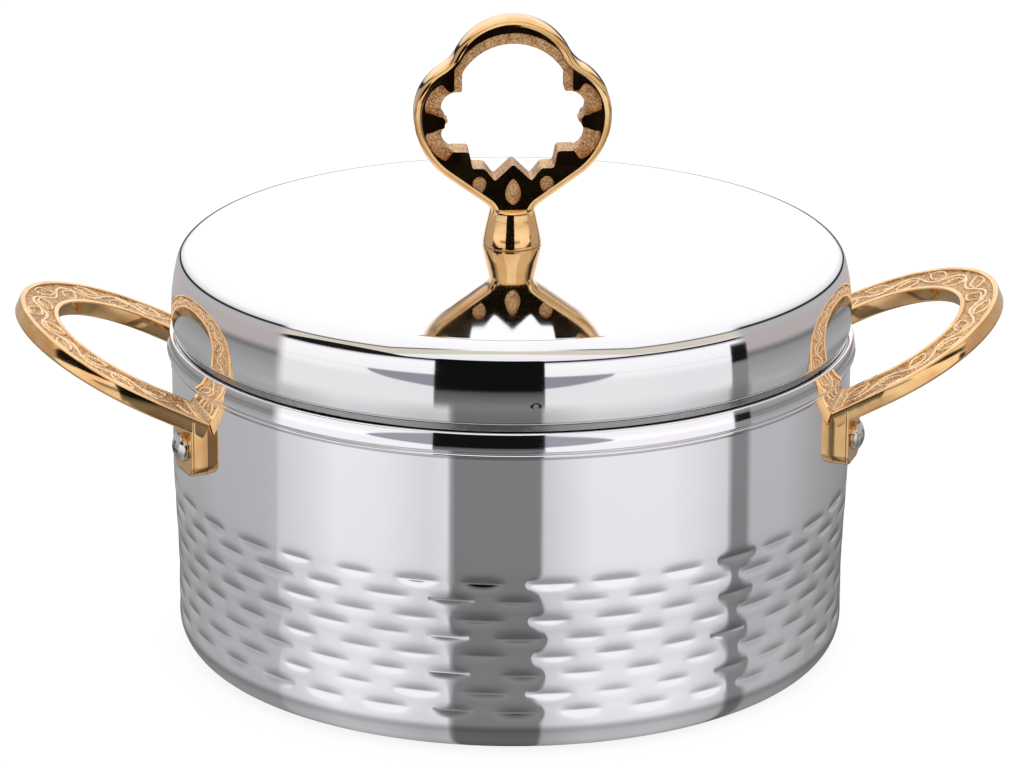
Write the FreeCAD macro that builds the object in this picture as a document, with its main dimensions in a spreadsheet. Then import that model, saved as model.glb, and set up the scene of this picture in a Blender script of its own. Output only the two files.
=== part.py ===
import FreeCAD, Part
import math
import os
import Sketcher
from types import SimpleNamespace

# Insulated chapati casserole, in millimetres. The origin is on the table under the bowl's axis,
# +Z is up and the handles lie along X. Every size below is a cell of the sheet called Sizes.
SIZES = {
    # gauge and clearances
    "sheet_gauge": (0.8, "thickness of every pressed steel sheet"),
    "seat_gap": (0.05, "gap between pieces that touch or are bonded"),
    "lid_rest_gap": (0.3, "gap under the lid's hem where it rests on the collar"),
    "lid_side_gap": (0.6, "gap round the lid's rim in the liner's mouth"),
    # bowl
    "shell_radius": (110.0, "outside of the bowl's wall"),
    "base_corner": (10.0, "outside radius of the bend from wall to foot"),
    "foot_width": (6.0, "flat ring that stands on the table"),
    "base_recess": (3.0, "height of the flange inside the foot ring"),
    "base_flange": (6.0, "width of that flange"),
    "bead_drop": (1.4, "from the collar's lower edge down to the bead's middle"),
    "bead_height": (1.6, "height of the bead rolled in the wall"),
    "bead_proud": (0.45, "how far the bead stands out"),
    # liner and collar
    "collar_top": (105.8, "top of the rim on which the lid rests"),
    "collar_height": (6.2, "height of the hemmed collar"),
    "collar_thick": (1.25, "thickness of the hemmed collar"),
    "collar_top_round": (1.1, "rounding of the collar's upper edge"),
    "collar_low_round": (0.6, "rounding of the collar's lower edge"),
    "wall_insulation": (12.0, "from the bowl's outside to the liner's inside"),
    "cavity_floor": (14.0, "height of the liner's floor"),
    "cavity_corner": (12.0, "radius between the liner's floor and wall"),
    "rim_bend": (1.5, "radius of the liner's rim"),
    # base plate and its plug
    "panel_radius": (62.0, "sunk middle panel of the base plate"),
    "panel_drop": (0.5, "how far the panel is sunk"),
    "panel_step": (1.2, "width of the slope round the panel"),
    "plate_rim": (1.8, "height of the base plate's turned-down rim"),
    "plug_hole": (6.0, "radius of the foam hole in the base plate"),
    "plug_head": (10.0, "radius of the base plug's head"),
    "plug_head_thick": (1.1, "thickness of a plug's head"),
    "plug_stem": (2.5, "how far a plug's stem passes its plate"),
    # lid
    "lid_height": (25.0, "from the skirt's lower edge up to the flat top"),
    "skirt_gap": (2.2, "from the collar's top up to the lid's skirt"),
    "skirt_round": (1.2, "rounding of the skirt's lower edge"),
    "skirt_lip": (3.0, "width of the lip turned in under the skirt"),
    "lid_edge_radius": (7.0, "upper, tighter arc of the lid's shoulder"),
    "lid_blend_angle": (14.0, "steepness where the shoulder's two arcs meet"),
    "hem_inset": (1.0, "how far the lid liner's hem lies inside the skirt"),
    "hem_width": (4.0, "width of that hem"),
    "lid_rim_depth": (8.0, "how deep the lid's rim drops into the liner"),
    "lid_rim_width": (9.0, "width of the lid's rim"),
    "lid_rim_bend": (2.0, "radius of the bends at the rim's lower side"),
    "lid_flange_bend": (1.8, "radius of the bend from hem flange to rim"),
    "lid_depth": (20.5, "from the flat top down to the lid liner's underside"),
    "lid_ceiling_bend": (5.0, "radius of the bend at the ceiling"),
    "lid_plug_hole": (5.0, "radius of the foam hole in the lid liner"),
    "lid_plug_head": (8.0, "radius of the lid plug's head"),
    # knob
    "knob_height": (75.4, "from the lid to the knob's crown"),
    "knob_thick": (10.5, "thickness of the cast ring"),
    "knob_half_width": (31.7, "half the width of the ring"),
    "lobe_height": (43.5, "height at which the ring is widest"),
    "lobe_radius": (18.5, "arc of the ring above its widest point"),
    "side_run": (15.9, "straight side of the ring between the neck's sweep and the flank"),
    "crown_radius": (20.3, "arc of the crown"),
    "waist_radius": (12.0, "hollow between crown and lobe"),
    "knob_round": (3.2, "rounding of the ring's outer edge"),
    "neck_radius": (6.5, "narrowest part of the stem"),
    "neck_height": (10.1, "height of the narrowest part"),
    "neck_sweep": (5.0, "arc from the neck into the ring"),
    "foot_radius": (9.5, "foot of the stem"),
    "foot_land": (1.0, "height of the foot's straight edge"),
    "foot_shoulder": (5.0, "height at which the foot turns into the neck"),
    "foot_shoulder_in": (1.6, "how far the foot has drawn in there"),
    "foot_swell": (14.0, "outward arc of the foot"),
    "foot_hollow": (10.0, "inward arc below the neck"),
    "stem_rise": (5.0, "how far the stem's cone runs up into the ring"),
    # eye of the knob, the pierced and cusped opening
    "crown_band": (8.5, "metal above the eye"),
    "eye_floor": (26.4, "height of the steps at the eye's lower side"),
    "tooth_rise": (1.4, "middle tooth above the steps"),
    "vee_drop": (4.2, "notches beside the tooth, below the steps"),
    "vee_out": (5.9, "notches, from the axis"),
    "step_in": (9.1, "inner end of a step"),
    "step_out": (13.1, "outer end of a step"),
    "shelf_in": (14.2, "inner end of the shelf above the step"),
    "shelf_rise": (5.6, "shelf above the steps"),
    "shelf_out": (18.8, "outer end of the shelf"),
    "cusp_rise": (15.2, "inward cusp above the steps"),
    "cusp_out": (20.6, "tip of the inward cusp, from the axis"),
    "low_notch_radius": (5.3, "round notch below the cusp"),
    "high_notch_radius": (5.2, "round notch above the cusp"),
    "fang_rise": (24.8, "hanging fang above the steps"),
    "fang_out": (18.6, "outer corner of the fang, from the axis"),
    "arch_half_width": (16.3, "half the width of the eye's arch"),
    "arch_rise": (31.0, "springing of the arch above the steps"),
    # ledge sunk round the eye's sides and arch, on both faces of the ring
    "ledge_depth": (2.2, "how far the ledge lies below the face"),
    "ledge_start": (18.0, "where its outline leaves the eye above the shelf, from the axis"),
    "ledge_start_rise": (7.5, "height of that place above the steps"),
    "ledge_low_out": (21.6, "lowest point of the side pocket, from the axis"),
    "ledge_low_rise": (2.6, "lowest point above the steps"),
    "ledge_spur_root": (29.0, "root of the spur between the two side pockets, from the axis"),
    "ledge_spur_under": (12.6, "underside of the spur's root above the steps"),
    "ledge_spur_over": (18.6, "upper side of the spur's root above the steps"),
    "ledge_spur_tip": (22.6, "tip of the spur, from the axis"),
    "ledge_spur_rise": (15.6, "tip of the spur above the steps"),
    "ledge_low_arc": (11.0, "arc of the lower side pocket"),
    "ledge_high_arc": (7.0, "arc of the upper side pocket"),
    "ledge_high_out": (22.6, "upper side pocket's inner end, from the axis"),
    "ledge_high_rise": (28.2, "upper side pocket's inner end above the steps"),
    "ledge_fang_out": (20.9, "outer corner of the fang on the face, from the axis"),
    "ledge_fang_rise": (25.6, "fang's lower end on the face, above the steps"),
    "ledge_arch_half": (18.9, "half the width of the ledge's arch"),
    "ledge_arch_rise": (32.5, "springing of the ledge's arch above the steps"),
    "ledge_band": (4.5, "face above the ledge's arch"),
    # small sunk ornaments below the eye, on both faces
    "inlay_depth": (0.8, "depth of the drops and the flame"),
    "drop_out": (10.8, "middle of a drop, from the axis"),
    "drop_fall": (5.0, "widest part of a drop below the steps"),
    "drop_half_width": (2.2, "half the width of a drop"),
    "drop_tail": (3.4, "point of a drop below its widest part"),
    "drop_head": (2.4, "round head of a drop above its widest part"),
    "flame_fall": (8.6, "widest part of the flame below the steps"),
    "flame_half_width": (2.5, "half the width of the flame"),
    "flame_tip": (5.4, "point of the flame above its widest part"),
    "flame_base": (3.6, "round end of the flame below its widest part"),
    # screws and nuts
    "screw_radius": (2.5, "M5 screws"),
    "screw_hole": (2.7, "clearance hole for them"),
    "head_radius": (4.75, "pan head"),
    "head_height": (3.2, "pan head"),
    "head_edge": (1.4, "straight edge of the pan head"),
    "nut_flats": (8.0, "width across a nut's flats"),
    "nut_height": (4.0, "height of a nut"),
    "screw_past_nut": (1.5, "thread that passes the nut"),
    "knob_thread": (9.0, "screw's length in the knob"),
    "thread_bottom": (1.0, "empty end of the knob's threaded hole"),
    "washer_radius": (12.0, "wide washer under the lid's skin"),
    "washer_thick": (1.5, "its thickness"),
    # handles
    "handle_tilt": (25.0, "slope of the loop"),
    "handle_drop": (10.4, "from the collar's top down to the loop's plane at the wall"),
    "handle_reach": (53.0, "from the wall's radius to the tip, along the slope"),
    "loop_radius": (49.5, "outside of the loop"),
    "leg_band": (15.5, "width of a leg"),
    "tip_band": (13.5, "width of the loop at its tip"),
    "loop_thick": (5.5, "thickness of the loop"),
    "leg_tail": (4.0, "spare length of a leg before the wall trims it"),
    "rim_width": (1.7, "polished border round the sunk band"),
    "ground_depth": (0.7, "depth of the sunk band"),
    "ground_end": (2.6, "from the wall to the sunk band's end"),
    "loop_round": (0.7, "rounding of the loop's lower edges"),
    "lug_width": (15.5, "width of a lug"),
    "lug_thick": (5.0, "thickness of a lug"),
    "lug_end": (8.9, "from the screws down to a lug's lower end"),
    "lug_corner": (4.0, "rounding of a lug's lower corners"),
    "lug_root_fillet": (3.0, "concave arc between lug and loop"),
    "screw_drop": (15.0, "from the loop's plane at the wall down to the handle screws"),
    # backing plates behind the wall
    "backing_thick": (1.5, "thickness of a backing plate"),
    "backing_height": (15.0, "height of a backing plate"),
    "backing_margin": (9.0, "angle by which a plate passes its screws"),
    "backing_clear": (0.5, "angle left free in the foam at each end of a plate"),
}

LEFT = 1.0
RIGHT = -1.0
FULL_TURN = math.degrees(math.tau)
QUARTER_TURN = FULL_TURN / 4
HEX_SIDES = 6
SIDES = {"left": 180, "right": 0}

# How the sketcher numbers an edge's ends and centre, and its own two axes.
START, END, CENTRE = range(1, 4)
X_AXIS, Y_AXIS = range(-1, -3, -1)


class Size:
    """A dimension worked out from the sheet: its value now, and the formula that keeps it tied."""

    def __init__(self, value, formula):
        self.value = value
        self.formula = formula

    def joined(self, sign, other, value):
        return Size(value, f"({self.formula} {sign} {other.formula})")

    def __add__(self, other):
        other = as_size(other)
        return self.joined("+", other, self.value + other.value)

    def __sub__(self, other):
        other = as_size(other)
        return self.joined("-", other, self.value - other.value)

    def __mul__(self, other):
        other = as_size(other)
        return self.joined("*", other, self.value * other.value)

    def __truediv__(self, other):
        other = as_size(other)
        return self.joined("/", other, self.value / other.value)

    def __neg__(self):
        return Size(-self.value, f"(0 - {self.formula})")


def as_size(amount):
    return amount if isinstance(amount, Size) else Size(float(amount), str(amount))


def cosine(angle):
    return Size(math.cos(math.radians(angle.value)), f"cos({angle.formula})")


def sine(angle):
    return Size(math.sin(math.radians(angle.value)), f"sin({angle.formula})")


def tangent(angle):
    return Size(math.tan(math.radians(angle.value)), f"tan({angle.formula})")


def arcsine(ratio):
    return Size(math.degrees(math.asin(ratio.value)), f"(asin({ratio.formula}) / 1deg)")


def root(amount):
    return Size(math.sqrt(amount.value), f"sqrt({amount.formula})")


def cap_radius(half_chord, rise):
    """Radius of the arc that rises by that much over half a chord."""
    return (half_chord * half_chord + rise * rise) / (rise * 2)


doc = FreeCAD.newDocument("Casserole")
ZERO = as_size(0)


def make_sheet():
    sheet = doc.addObject("Spreadsheet::Sheet", "Sizes")
    for row, (name, (number, meaning)) in enumerate(SIZES.items(), start=1):
        sheet.set(f"A{row}", name)
        sheet.set(f"B{row}", str(number))
        sheet.setAlias(f"B{row}", name)
        sheet.set(f"C{row}", meaning)
    doc.recompute()
    cells = {name: Size(float(sheet.get(name)), f"Sizes.{name}") for name in SIZES}
    return SimpleNamespace(**cells)


size = make_sheet()

# Places that several pieces share.
gauge = size.sheet_gauge
gap = size.seat_gap
wall = size.shell_radius
foot_outer = wall - size.base_corner
foot_inner = foot_outer - size.foot_width
cavity_radius = wall - size.wall_insulation
skirt_bottom = size.collar_top + size.skirt_gap
lid_top = skirt_bottom + size.lid_height
lid_ceiling = lid_top - size.lid_depth
handle_height = size.collar_top - size.handle_drop
screw_height = handle_height - size.screw_drop
lug_bottom = screw_height - size.lug_end
plate_top = size.base_recess - gap
plate_bottom = plate_top - gauge
panel_bottom = plate_bottom - size.panel_drop
foam_wall = wall - gauge - gap
shell_top = size.collar_top - gauge - gap
lid_seat = size.collar_top + size.lid_rest_gap
shoulder_start = skirt_bottom + size.skirt_round
shoulder_rise = lid_top - size.lid_edge_radius - shoulder_start
lid_side_radius = size.lid_edge_radius + shoulder_rise / sine(size.lid_blend_angle)
lid_rim_outer = cavity_radius - size.lid_side_gap
lid_rim_inner = lid_rim_outer - size.lid_rim_width
lid_rim_bottom = lid_seat - size.lid_rim_depth
washer_top = lid_top - gauge - gap
washer_bottom = washer_top - size.washer_thick
knob_screw_seat = washer_bottom - gap
backing_outer = foam_wall
backing_inner = backing_outer - size.backing_thick
nut_outer = backing_inner - gap
nut_inner = nut_outer - size.nut_height
lug_face = wall + gap + size.lug_thick
leg_middle = size.loop_radius - size.leg_band / 2
lug_azimuth = arcsine(leg_middle / (wall + size.lug_thick / 2))
screw_tip = nut_inner - size.screw_past_nut
backing_spread = (lug_azimuth + size.backing_margin) * 2


def new_body(label):
    body = doc.addObject("PartDesign::Body", label)
    body.Label = label
    return body


def origin_feature(body, role):
    return next(item for item in body.Origin.OriginFeatures if item.Role == role)


def new_sketch(body, name, role, offset=None):
    """A sketch on one of the body's own origin planes, moved from it by an offset if one is given."""
    sketch = body.newObject("Sketcher::SketchObject", name)
    sketch.AttachmentSupport = [(origin_feature(body, role), "")]
    sketch.MapMode = "FlatFace"
    if offset is not None:
        sketch.AttachmentOffset = offset
    return sketch


def tie(item, prop, amount):
    item.setExpression(prop, amount.formula)


def constrain(sketch, kind, *where, amount):
    """Adds a dimension that follows its formula."""
    index = sketch.addConstraint(Sketcher.Constraint(kind, *where, amount.value))
    tie(sketch, f"Constraints[{index}]", amount)


def pin(sketch, edge, end, x, y):
    """Holds the end of an edge at a point of the sketch."""
    for kind, amount, axis in (("DistanceX", x, Y_AXIS), ("DistanceY", y, X_AXIS)):
        if amount.formula == ZERO.formula:
            sketch.addConstraint(Sketcher.Constraint("PointOnObject", edge, end, axis))
        else:
            constrain(sketch, kind, edge, end, amount=amount)


def vector(x, y):
    return FreeCAD.Vector(x.value, y.value, 0)


def bulge_point(start, finish, radius, side):
    """Middle of the arc from start to finish that bulges to the given side of its chord."""
    chord = finish - start
    half = chord.Length / 2
    outward = FreeCAD.Vector(-chord.y, chord.x, 0).normalize() * side
    height = radius - math.sqrt(radius * radius - half * half)
    return (start + finish) / 2 + outward * height


def draw(sketch, path):
    """Draws the closed path. A step is (x, y) for a straight edge to that point, or
    (x, y, radius, side) for an arc to it that bulges to that side of the way it goes."""
    points = [vector(step[0], step[1]) for step in path]
    edges = []
    for index, step in enumerate(path):
        start, finish = points[index - 1], points[index]
        if len(step) == 2:
            edge = sketch.addGeometry(Part.LineSegment(start, finish))
            edges.append((edge, START, END))
            continue
        radius, side = step[2], step[3]
        middle = bulge_point(start, finish, radius.value, side)
        if side == RIGHT:
            edge = sketch.addGeometry(Part.Arc(start, middle, finish))
            edges.append((edge, START, END))
        else:
            edge = sketch.addGeometry(Part.Arc(finish, middle, start))
            edges.append((edge, END, START))
        constrain(sketch, "Radius", edge, amount=radius)
    for index, (edge, first, last) in enumerate(edges):
        previous, _, previous_last = edges[index - 1]
        sketch.addConstraint(Sketcher.Constraint("Coincident", previous, previous_last, edge, first))
        pin(sketch, edge, last, path[index][0], path[index][1])


def revolve(body, name, path, kind="PartDesign::Revolution"):
    """Turns a path of (radius, height) steps about the body's Z axis."""
    sketch = new_sketch(body, name + "_section", "XZ_Plane")
    draw(sketch, path)
    turned = body.newObject(kind, name)
    turned.Profile = sketch
    turned.ReferenceAxis = (sketch, ["V_Axis"])
    turned.Angle = FULL_TURN
    sketch.Visibility = False
    return turned


def turned_piece(label, path):
    body = new_body(label)
    revolve(body, label + "_turned", path)
    return body


def pad(body, name, sketch, length, reverse=False, both_sides=False):
    feature = body.newObject("PartDesign::Pad", name)
    feature.Profile = sketch
    feature.Reversed = reverse
    feature.SideType = "Symmetric" if both_sides else "One side"
    feature.Length = length.value
    tie(feature, "Length", length)
    return feature


def pocket(body, name, sketch, length=None, reverse=False, both_sides=False):
    """Cuts the sketch to a depth, or through everything when no length is given, and makes sure
    that something was cut."""
    before = body.Tip.Shape.Volume if not body.Tip.Shape.isNull() else 0.0
    feature = body.newObject("PartDesign::Pocket", name)
    feature.Profile = sketch
    feature.Reversed = reverse
    feature.SideType = "Symmetric" if both_sides else "One side"
    if length is None:
        feature.Type = "ThroughAll"
    else:
        feature.Length = length.value
        tie(feature, "Length", length)
    doc.recompute()
    if feature.Shape.Volume >= before:
        raise RuntimeError(name + " cuts nothing")
    return feature


def mirror(body, name, features, role):
    feature = body.newObject("PartDesign::Mirrored", name)
    feature.Originals = features
    feature.MirrorPlane = (origin_feature(body, role), [""])
    body.Tip = feature
    doc.recompute()
    return feature


def round_edges(body, name, radius, wanted):
    """Fillets the edges of the body's last feature that the test picks."""
    doc.recompute()
    base = body.Tip
    names = [f"Edge{index}" for index, edge in enumerate(base.Shape.Edges, start=1) if wanted(edge)]
    if not names:
        raise RuntimeError(name + " finds no edge")
    feature = body.newObject("PartDesign::Fillet", name)
    feature.Base = (base, names)
    feature.Radius = radius.value
    tie(feature, "Radius", radius)
    doc.recompute()
    return feature


def middle_of(edge):
    return edge.valueAt((edge.FirstParameter + edge.LastParameter) / 2)


# ---------------------------------------------------------------- bowl

def outer_shell():
    """Drawn bowl: straight wall with a bead, rounded corner, foot ring and inner flange."""
    bead_middle = size.collar_top - size.collar_height - size.bead_drop
    bead_upper = bead_middle + size.bead_height / 2
    bead_lower = bead_middle - size.bead_height / 2
    bead = cap_radius(size.bead_height / 2, size.bead_proud)
    inside = wall - gauge
    flange_top = size.base_recess + gauge
    flange_edge = foot_inner - size.base_flange
    body = turned_piece("outer_shell", [
        (wall, shell_top),
        (wall, bead_upper),
        (wall, bead_lower, bead, LEFT),
        (wall, size.base_corner),
        (foot_outer, ZERO, size.base_corner, LEFT),
        (foot_inner, ZERO),
        (foot_inner, size.base_recess),
        (flange_edge, size.base_recess),
        (flange_edge, flange_top),
        (foot_inner + gauge, flange_top),
        (foot_inner + gauge, gauge),
        (foot_outer, gauge),
        (inside, size.base_corner, size.base_corner - gauge, RIGHT),
        (inside, bead_lower),
        (inside, bead_upper, bead, RIGHT),
        (inside, shell_top),
    ])
    doc.recompute()
    for side in SIDES:
        for place, heading in lug_headings(side).items():
            radial_hole(body, f"screw_hole_{side}_{place}", heading)
    return body


def inner_liner():
    """Liner whose rim turns out over the shell and ends in the hemmed collar."""
    radius = cavity_radius
    floor = size.cavity_floor
    corner = size.cavity_corner
    bend = size.rim_bend
    top = size.collar_top
    collar_inner = wall + gap
    collar_outer = collar_inner + size.collar_thick
    collar_bottom = top - size.collar_height
    upper = size.collar_top_round
    lower = size.collar_low_round
    return turned_piece("inner_liner", [
        (ZERO, floor),
        (radius - corner, floor),
        (radius, floor + corner, corner, RIGHT),
        (radius, top - bend),
        (radius + bend, top, bend, LEFT),
        (collar_outer - upper, top),
        (collar_outer, top - upper, upper, LEFT),
        (collar_outer, collar_bottom + lower),
        (collar_outer - lower, collar_bottom, lower, LEFT),
        (collar_inner, collar_bottom),
        (collar_inner, top - gauge),
        (radius + bend, top - gauge),
        (radius + gauge, top - bend, bend - gauge, RIGHT),
        (radius + gauge, floor + corner),
        (radius - corner, floor - gauge, corner + gauge, LEFT),
        (ZERO, floor - gauge),
    ])


def body_insulation():
    """Foam between shell and liner, with room for the backing plates, nuts and screws."""
    inner = cavity_radius + gauge + gap
    top = size.collar_top - size.rim_bend
    underside = size.cavity_floor - gauge - gap
    corner = size.cavity_corner
    low = gauge + gap
    riser = foot_inner + gauge + gap
    over_flange = size.base_recess + gauge + gap
    inside_flange = foot_inner - size.base_flange - gap
    well = size.plug_hole
    well_top = plate_top + size.plug_stem + gap
    body = new_body("body_insulation")
    foam = revolve(body, "foam", [
        (ZERO, underside),
        (cavity_radius - corner, underside),
        (inner, size.cavity_floor + corner, corner + gauge + gap, RIGHT),
        (inner, top),
        (foam_wall, top),
        (foam_wall, size.base_corner),
        (foot_outer, low, size.base_corner - low, LEFT),
        (riser, low),
        (riser, over_flange),
        (inside_flange, over_flange),
        (inside_flange, size.base_recess),
        (well, size.base_recess),
        (well, well_top),
        (ZERO, well_top),
    ])
    body.Tip = foam
    doc.recompute()
    for side, turn in SIDES.items():
        backing_room(body, side, turn)
    return body


def backing_room(body, side, turn):
    """Groove in the foam that takes one handle's backing plate, nuts and screw ends."""
    before = body.Tip.Shape.Volume
    facing = FreeCAD.Rotation(FreeCAD.Vector(0, 1, 0), turn)
    sketch = new_sketch(body, f"backing_room_{side}_section", "XZ_Plane",
                        FreeCAD.Placement(FreeCAD.Vector(), facing))
    lower = screw_height - size.backing_height / 2 - gap
    upper = screw_height + size.backing_height / 2 + gap
    draw(sketch, [
        (screw_tip - gap, lower),
        (wall, lower),
        (wall, upper),
        (screw_tip - gap, upper),
    ])
    groove = body.newObject("PartDesign::Groove", f"backing_room_{side}")
    groove.Profile = sketch
    groove.ReferenceAxis = (sketch, ["V_Axis"])
    groove.Midplane = True
    reach = backing_spread + size.backing_clear * 2
    groove.Angle = reach.value
    tie(groove, "Angle", reach)
    doc.recompute()
    if groove.Shape.Volume >= before:
        raise RuntimeError("the foam has no room for the backing plate")


def base_plate():
    """Pressed plate up against the shell's flange, with a turned-down rim and a sunk panel."""
    edge = foot_inner - gap
    rim_bottom = plate_top - size.plate_rim
    step = size.panel_radius + size.panel_step
    return turned_piece("base_plate", [
        (size.plug_hole, plate_top - size.panel_drop),
        (size.panel_radius, plate_top - size.panel_drop),
        (step, plate_top),
        (edge, plate_top),
        (edge, rim_bottom),
        (edge - gauge, rim_bottom),
        (edge - gauge, plate_bottom),
        (step, plate_bottom),
        (size.panel_radius, panel_bottom),
        (size.plug_hole, panel_bottom),
    ])


def plug(label, hole, head, seat, tip):
    """Headed plug: its head bears on the seat from below and its stem ends at the tip."""
    head_bottom = seat - size.plug_head_thick
    return turned_piece(label, [
        (ZERO, head_bottom),
        (head, head_bottom),
        (head, seat),
        (hole - gap, seat),
        (hole - gap, tip),
        (ZERO, tip),
    ])


# ---------------------------------------------------------------- lid

def shoulder_points(inset):
    """Points of the lid's shoulder, moved inward by an inset: its start, its blend and its top."""
    side = lid_side_radius - inset
    blend = size.lid_blend_angle
    centre = wall - lid_side_radius
    blend_x = centre + side * cosine(blend)
    blend_z = shoulder_start + side * sine(blend)
    top_x = blend_x - (size.lid_edge_radius - inset) * cosine(blend)
    return (wall - inset, shoulder_start), (blend_x, blend_z), (top_x, lid_top - inset)


def lid_shell():
    """Deep lid skin: flat top, two-arc shoulder and a lip turned in under the skirt."""
    start, blend, top = shoulder_points(ZERO)
    inner_start, inner_blend, inner_top = shoulder_points(gauge)
    bottom = skirt_bottom
    turn = wall - size.skirt_round
    lip = wall - size.skirt_lip
    side = lid_side_radius
    edge = size.lid_edge_radius
    return turned_piece("lid_shell", [
        (lip, bottom),
        (turn, bottom),
        (*start, size.skirt_round, RIGHT),
        (*blend, side, RIGHT),
        (*top, edge, RIGHT),
        (size.screw_hole, lid_top),
        (size.screw_hole, lid_top - gauge),
        inner_top,
        (*inner_blend, edge - gauge, LEFT),
        (*inner_start, side - gauge, LEFT),
        (turn, bottom + gauge, size.skirt_round - gauge, LEFT),
        (lip, bottom + gauge),
    ])


def lid_liner():
    """Inner pan of the lid: hem under the skirt, rim that drops into the mouth, raised ceiling."""
    hem_outer = wall - size.hem_inset
    hem_inner = hem_outer - size.hem_width
    hem_top = skirt_bottom - gap
    flange = size.lid_flange_bend
    bend = size.lid_rim_bend
    ceiling = lid_ceiling
    arch = size.lid_ceiling_bend
    outer, inner, low = lid_rim_outer, lid_rim_inner, lid_rim_bottom
    return turned_piece("lid_liner", [
        (hem_outer, lid_seat),
        (outer + flange, lid_seat),
        (outer, lid_seat - flange, flange, RIGHT),
        (outer, low + bend),
        (outer - bend, low, bend, LEFT),
        (inner + bend, low),
        (inner, low + bend, bend, LEFT),
        (inner, ceiling - arch),
        (inner - arch, ceiling, arch, RIGHT),
        (size.lid_plug_hole, ceiling),
        (size.lid_plug_hole, ceiling + gauge),
        (inner - arch, ceiling + gauge),
        (inner + gauge, ceiling - arch, arch + gauge, LEFT),
        (inner + gauge, low + bend),
        (inner + bend, low + gauge, bend - gauge, RIGHT),
        (outer - bend, low + gauge),
        (outer - gauge, low + bend, bend - gauge, RIGHT),
        (outer - gauge, lid_seat - flange),
        (outer + flange, lid_seat + gauge, flange + gauge, LEFT),
        (hem_inner, lid_seat + gauge),
        (hem_inner, hem_top),
        (hem_outer, hem_top),
    ])


def lid_insulation():
    """Foam in the lid, with wells for the knob's washer and screw and for the plug."""
    skin = gauge + gap
    start, blend, top = shoulder_points(skin)
    shelf = skirt_bottom + skin
    hem_clear = wall - size.hem_inset - size.hem_width - gap
    flange = size.lid_flange_bend
    bend = size.lid_rim_bend
    ceiling = lid_ceiling + skin
    arch = size.lid_ceiling_bend
    outer, inner, low = lid_rim_outer, lid_rim_inner, lid_rim_bottom
    head_bottom = knob_screw_seat - size.head_height - gap
    plug_tip = lid_ceiling + gauge + size.plug_stem + gap
    return turned_piece("lid_insulation", [
        (ZERO, head_bottom),
        (size.head_radius + gap, head_bottom),
        (size.head_radius + gap, washer_bottom - gap),
        (size.washer_radius + gap, washer_bottom - gap),
        (size.washer_radius + gap, washer_top),
        top,
        (*blend, size.lid_edge_radius - skin, LEFT),
        (*start, lid_side_radius - skin, LEFT),
        (wall - skin, shelf),
        (hem_clear, shelf),
        (hem_clear, lid_seat + skin),
        (outer + flange, lid_seat + skin),
        (outer - skin, lid_seat - flange, flange + skin, RIGHT),
        (outer - skin, low + bend),
        (outer - bend, low + skin, bend - skin, LEFT),
        (inner + bend, low + skin),
        (inner + skin, low + bend, bend - skin, LEFT),
        (inner + skin, lid_ceiling - arch),
        (inner - arch, ceiling, arch + skin, RIGHT),
        (size.lid_plug_hole, ceiling),
        (size.lid_plug_hole, plug_tip),
        (ZERO, plug_tip),
    ])


def knob_washer():
    return turned_piece("knob_washer", [
        (size.screw_hole, washer_top),
        (size.washer_radius, washer_top),
        (size.washer_radius, washer_bottom),
        (size.screw_hole, washer_bottom),
    ])


# ---------------------------------------------------------------- screws and nuts

def pan_head_screw(label, length):
    """Screw along +Z: its head stands below the origin and its shank runs up by the length."""
    crown = cap_radius(size.head_radius, size.head_height - size.head_edge)
    return turned_piece(label, [
        (ZERO, -size.head_height),
        (size.head_radius, -size.head_edge, crown, RIGHT),
        (size.head_radius, ZERO),
        (size.screw_radius, ZERO),
        (size.screw_radius, length),
        (ZERO, length),
    ])


def knob_screw():
    grip = lid_top - knob_screw_seat
    screw = pan_head_screw("knob_screw", grip + size.knob_thread)
    screw.Placement = FreeCAD.Placement(FreeCAD.Vector(0, 0, knob_screw_seat.value), FreeCAD.Rotation())
    tie(screw, "Placement.Base.z", knob_screw_seat)
    return screw


def place_radially(item, radius, height, heading):
    """Lays a piece made along +Z so that it points at the bowl's axis from the given heading."""
    x = radius * cosine(heading)
    y = radius * sine(heading)
    turn = FreeCAD.Rotation(FreeCAD.Vector(0, 0, 1), heading.value)
    inward = FreeCAD.Rotation(FreeCAD.Vector(0, 1, 0), -QUARTER_TURN)
    item.Placement = FreeCAD.Placement(FreeCAD.Vector(x.value, y.value, height.value), turn * inward)
    tie(item, "Placement.Base.x", x)
    tie(item, "Placement.Base.y", y)
    tie(item, "Placement.Base.z", height)


def lug_headings(side):
    """Headings of the two lugs of the handle on one side."""
    facing = as_size(SIDES[side])
    return {"front": facing - lug_azimuth, "back": facing + lug_azimuth}


def facing_placement(side):
    """Turns a piece made for the right-hand side so that it faces its own side."""
    return FreeCAD.Placement(FreeCAD.Vector(), FreeCAD.Rotation(FreeCAD.Vector(0, 0, 1), SIDES[side]))


def group(label, members):
    """Identical fasteners in one node, as separate solids."""
    item = doc.addObject("Part::Compound", label)
    item.Label = label
    item.Links = members
    return item


def handle_screws(side):
    screws = []
    for place, heading in lug_headings(side).items():
        screw = pan_head_screw(f"screw_{side}_{place}", lug_face - screw_tip)
        place_radially(screw, lug_face + gap, screw_height, heading)
        screws.append(screw)
    return group(f"handle_{side}_screws", screws)


def hex_nut(label):
    """Nut along +Z from the origin, bored for the screw."""
    blank = doc.addObject("Part::Prism", label + "_blank")
    blank.Polygon = HEX_SIDES
    half_side_angle = as_size(FULL_TURN / HEX_SIDES / 2)
    tie(blank, "Circumradius", size.nut_flats / 2 / cosine(half_side_angle))
    tie(blank, "Height", size.nut_height)
    bore = doc.addObject("Part::Cylinder", label + "_bore")
    tie(bore, "Radius", size.screw_radius + gap)
    tie(bore, "Height", size.nut_height)
    nut = doc.addObject("Part::Cut", label)
    nut.Base = blank
    nut.Tool = bore
    return nut


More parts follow.
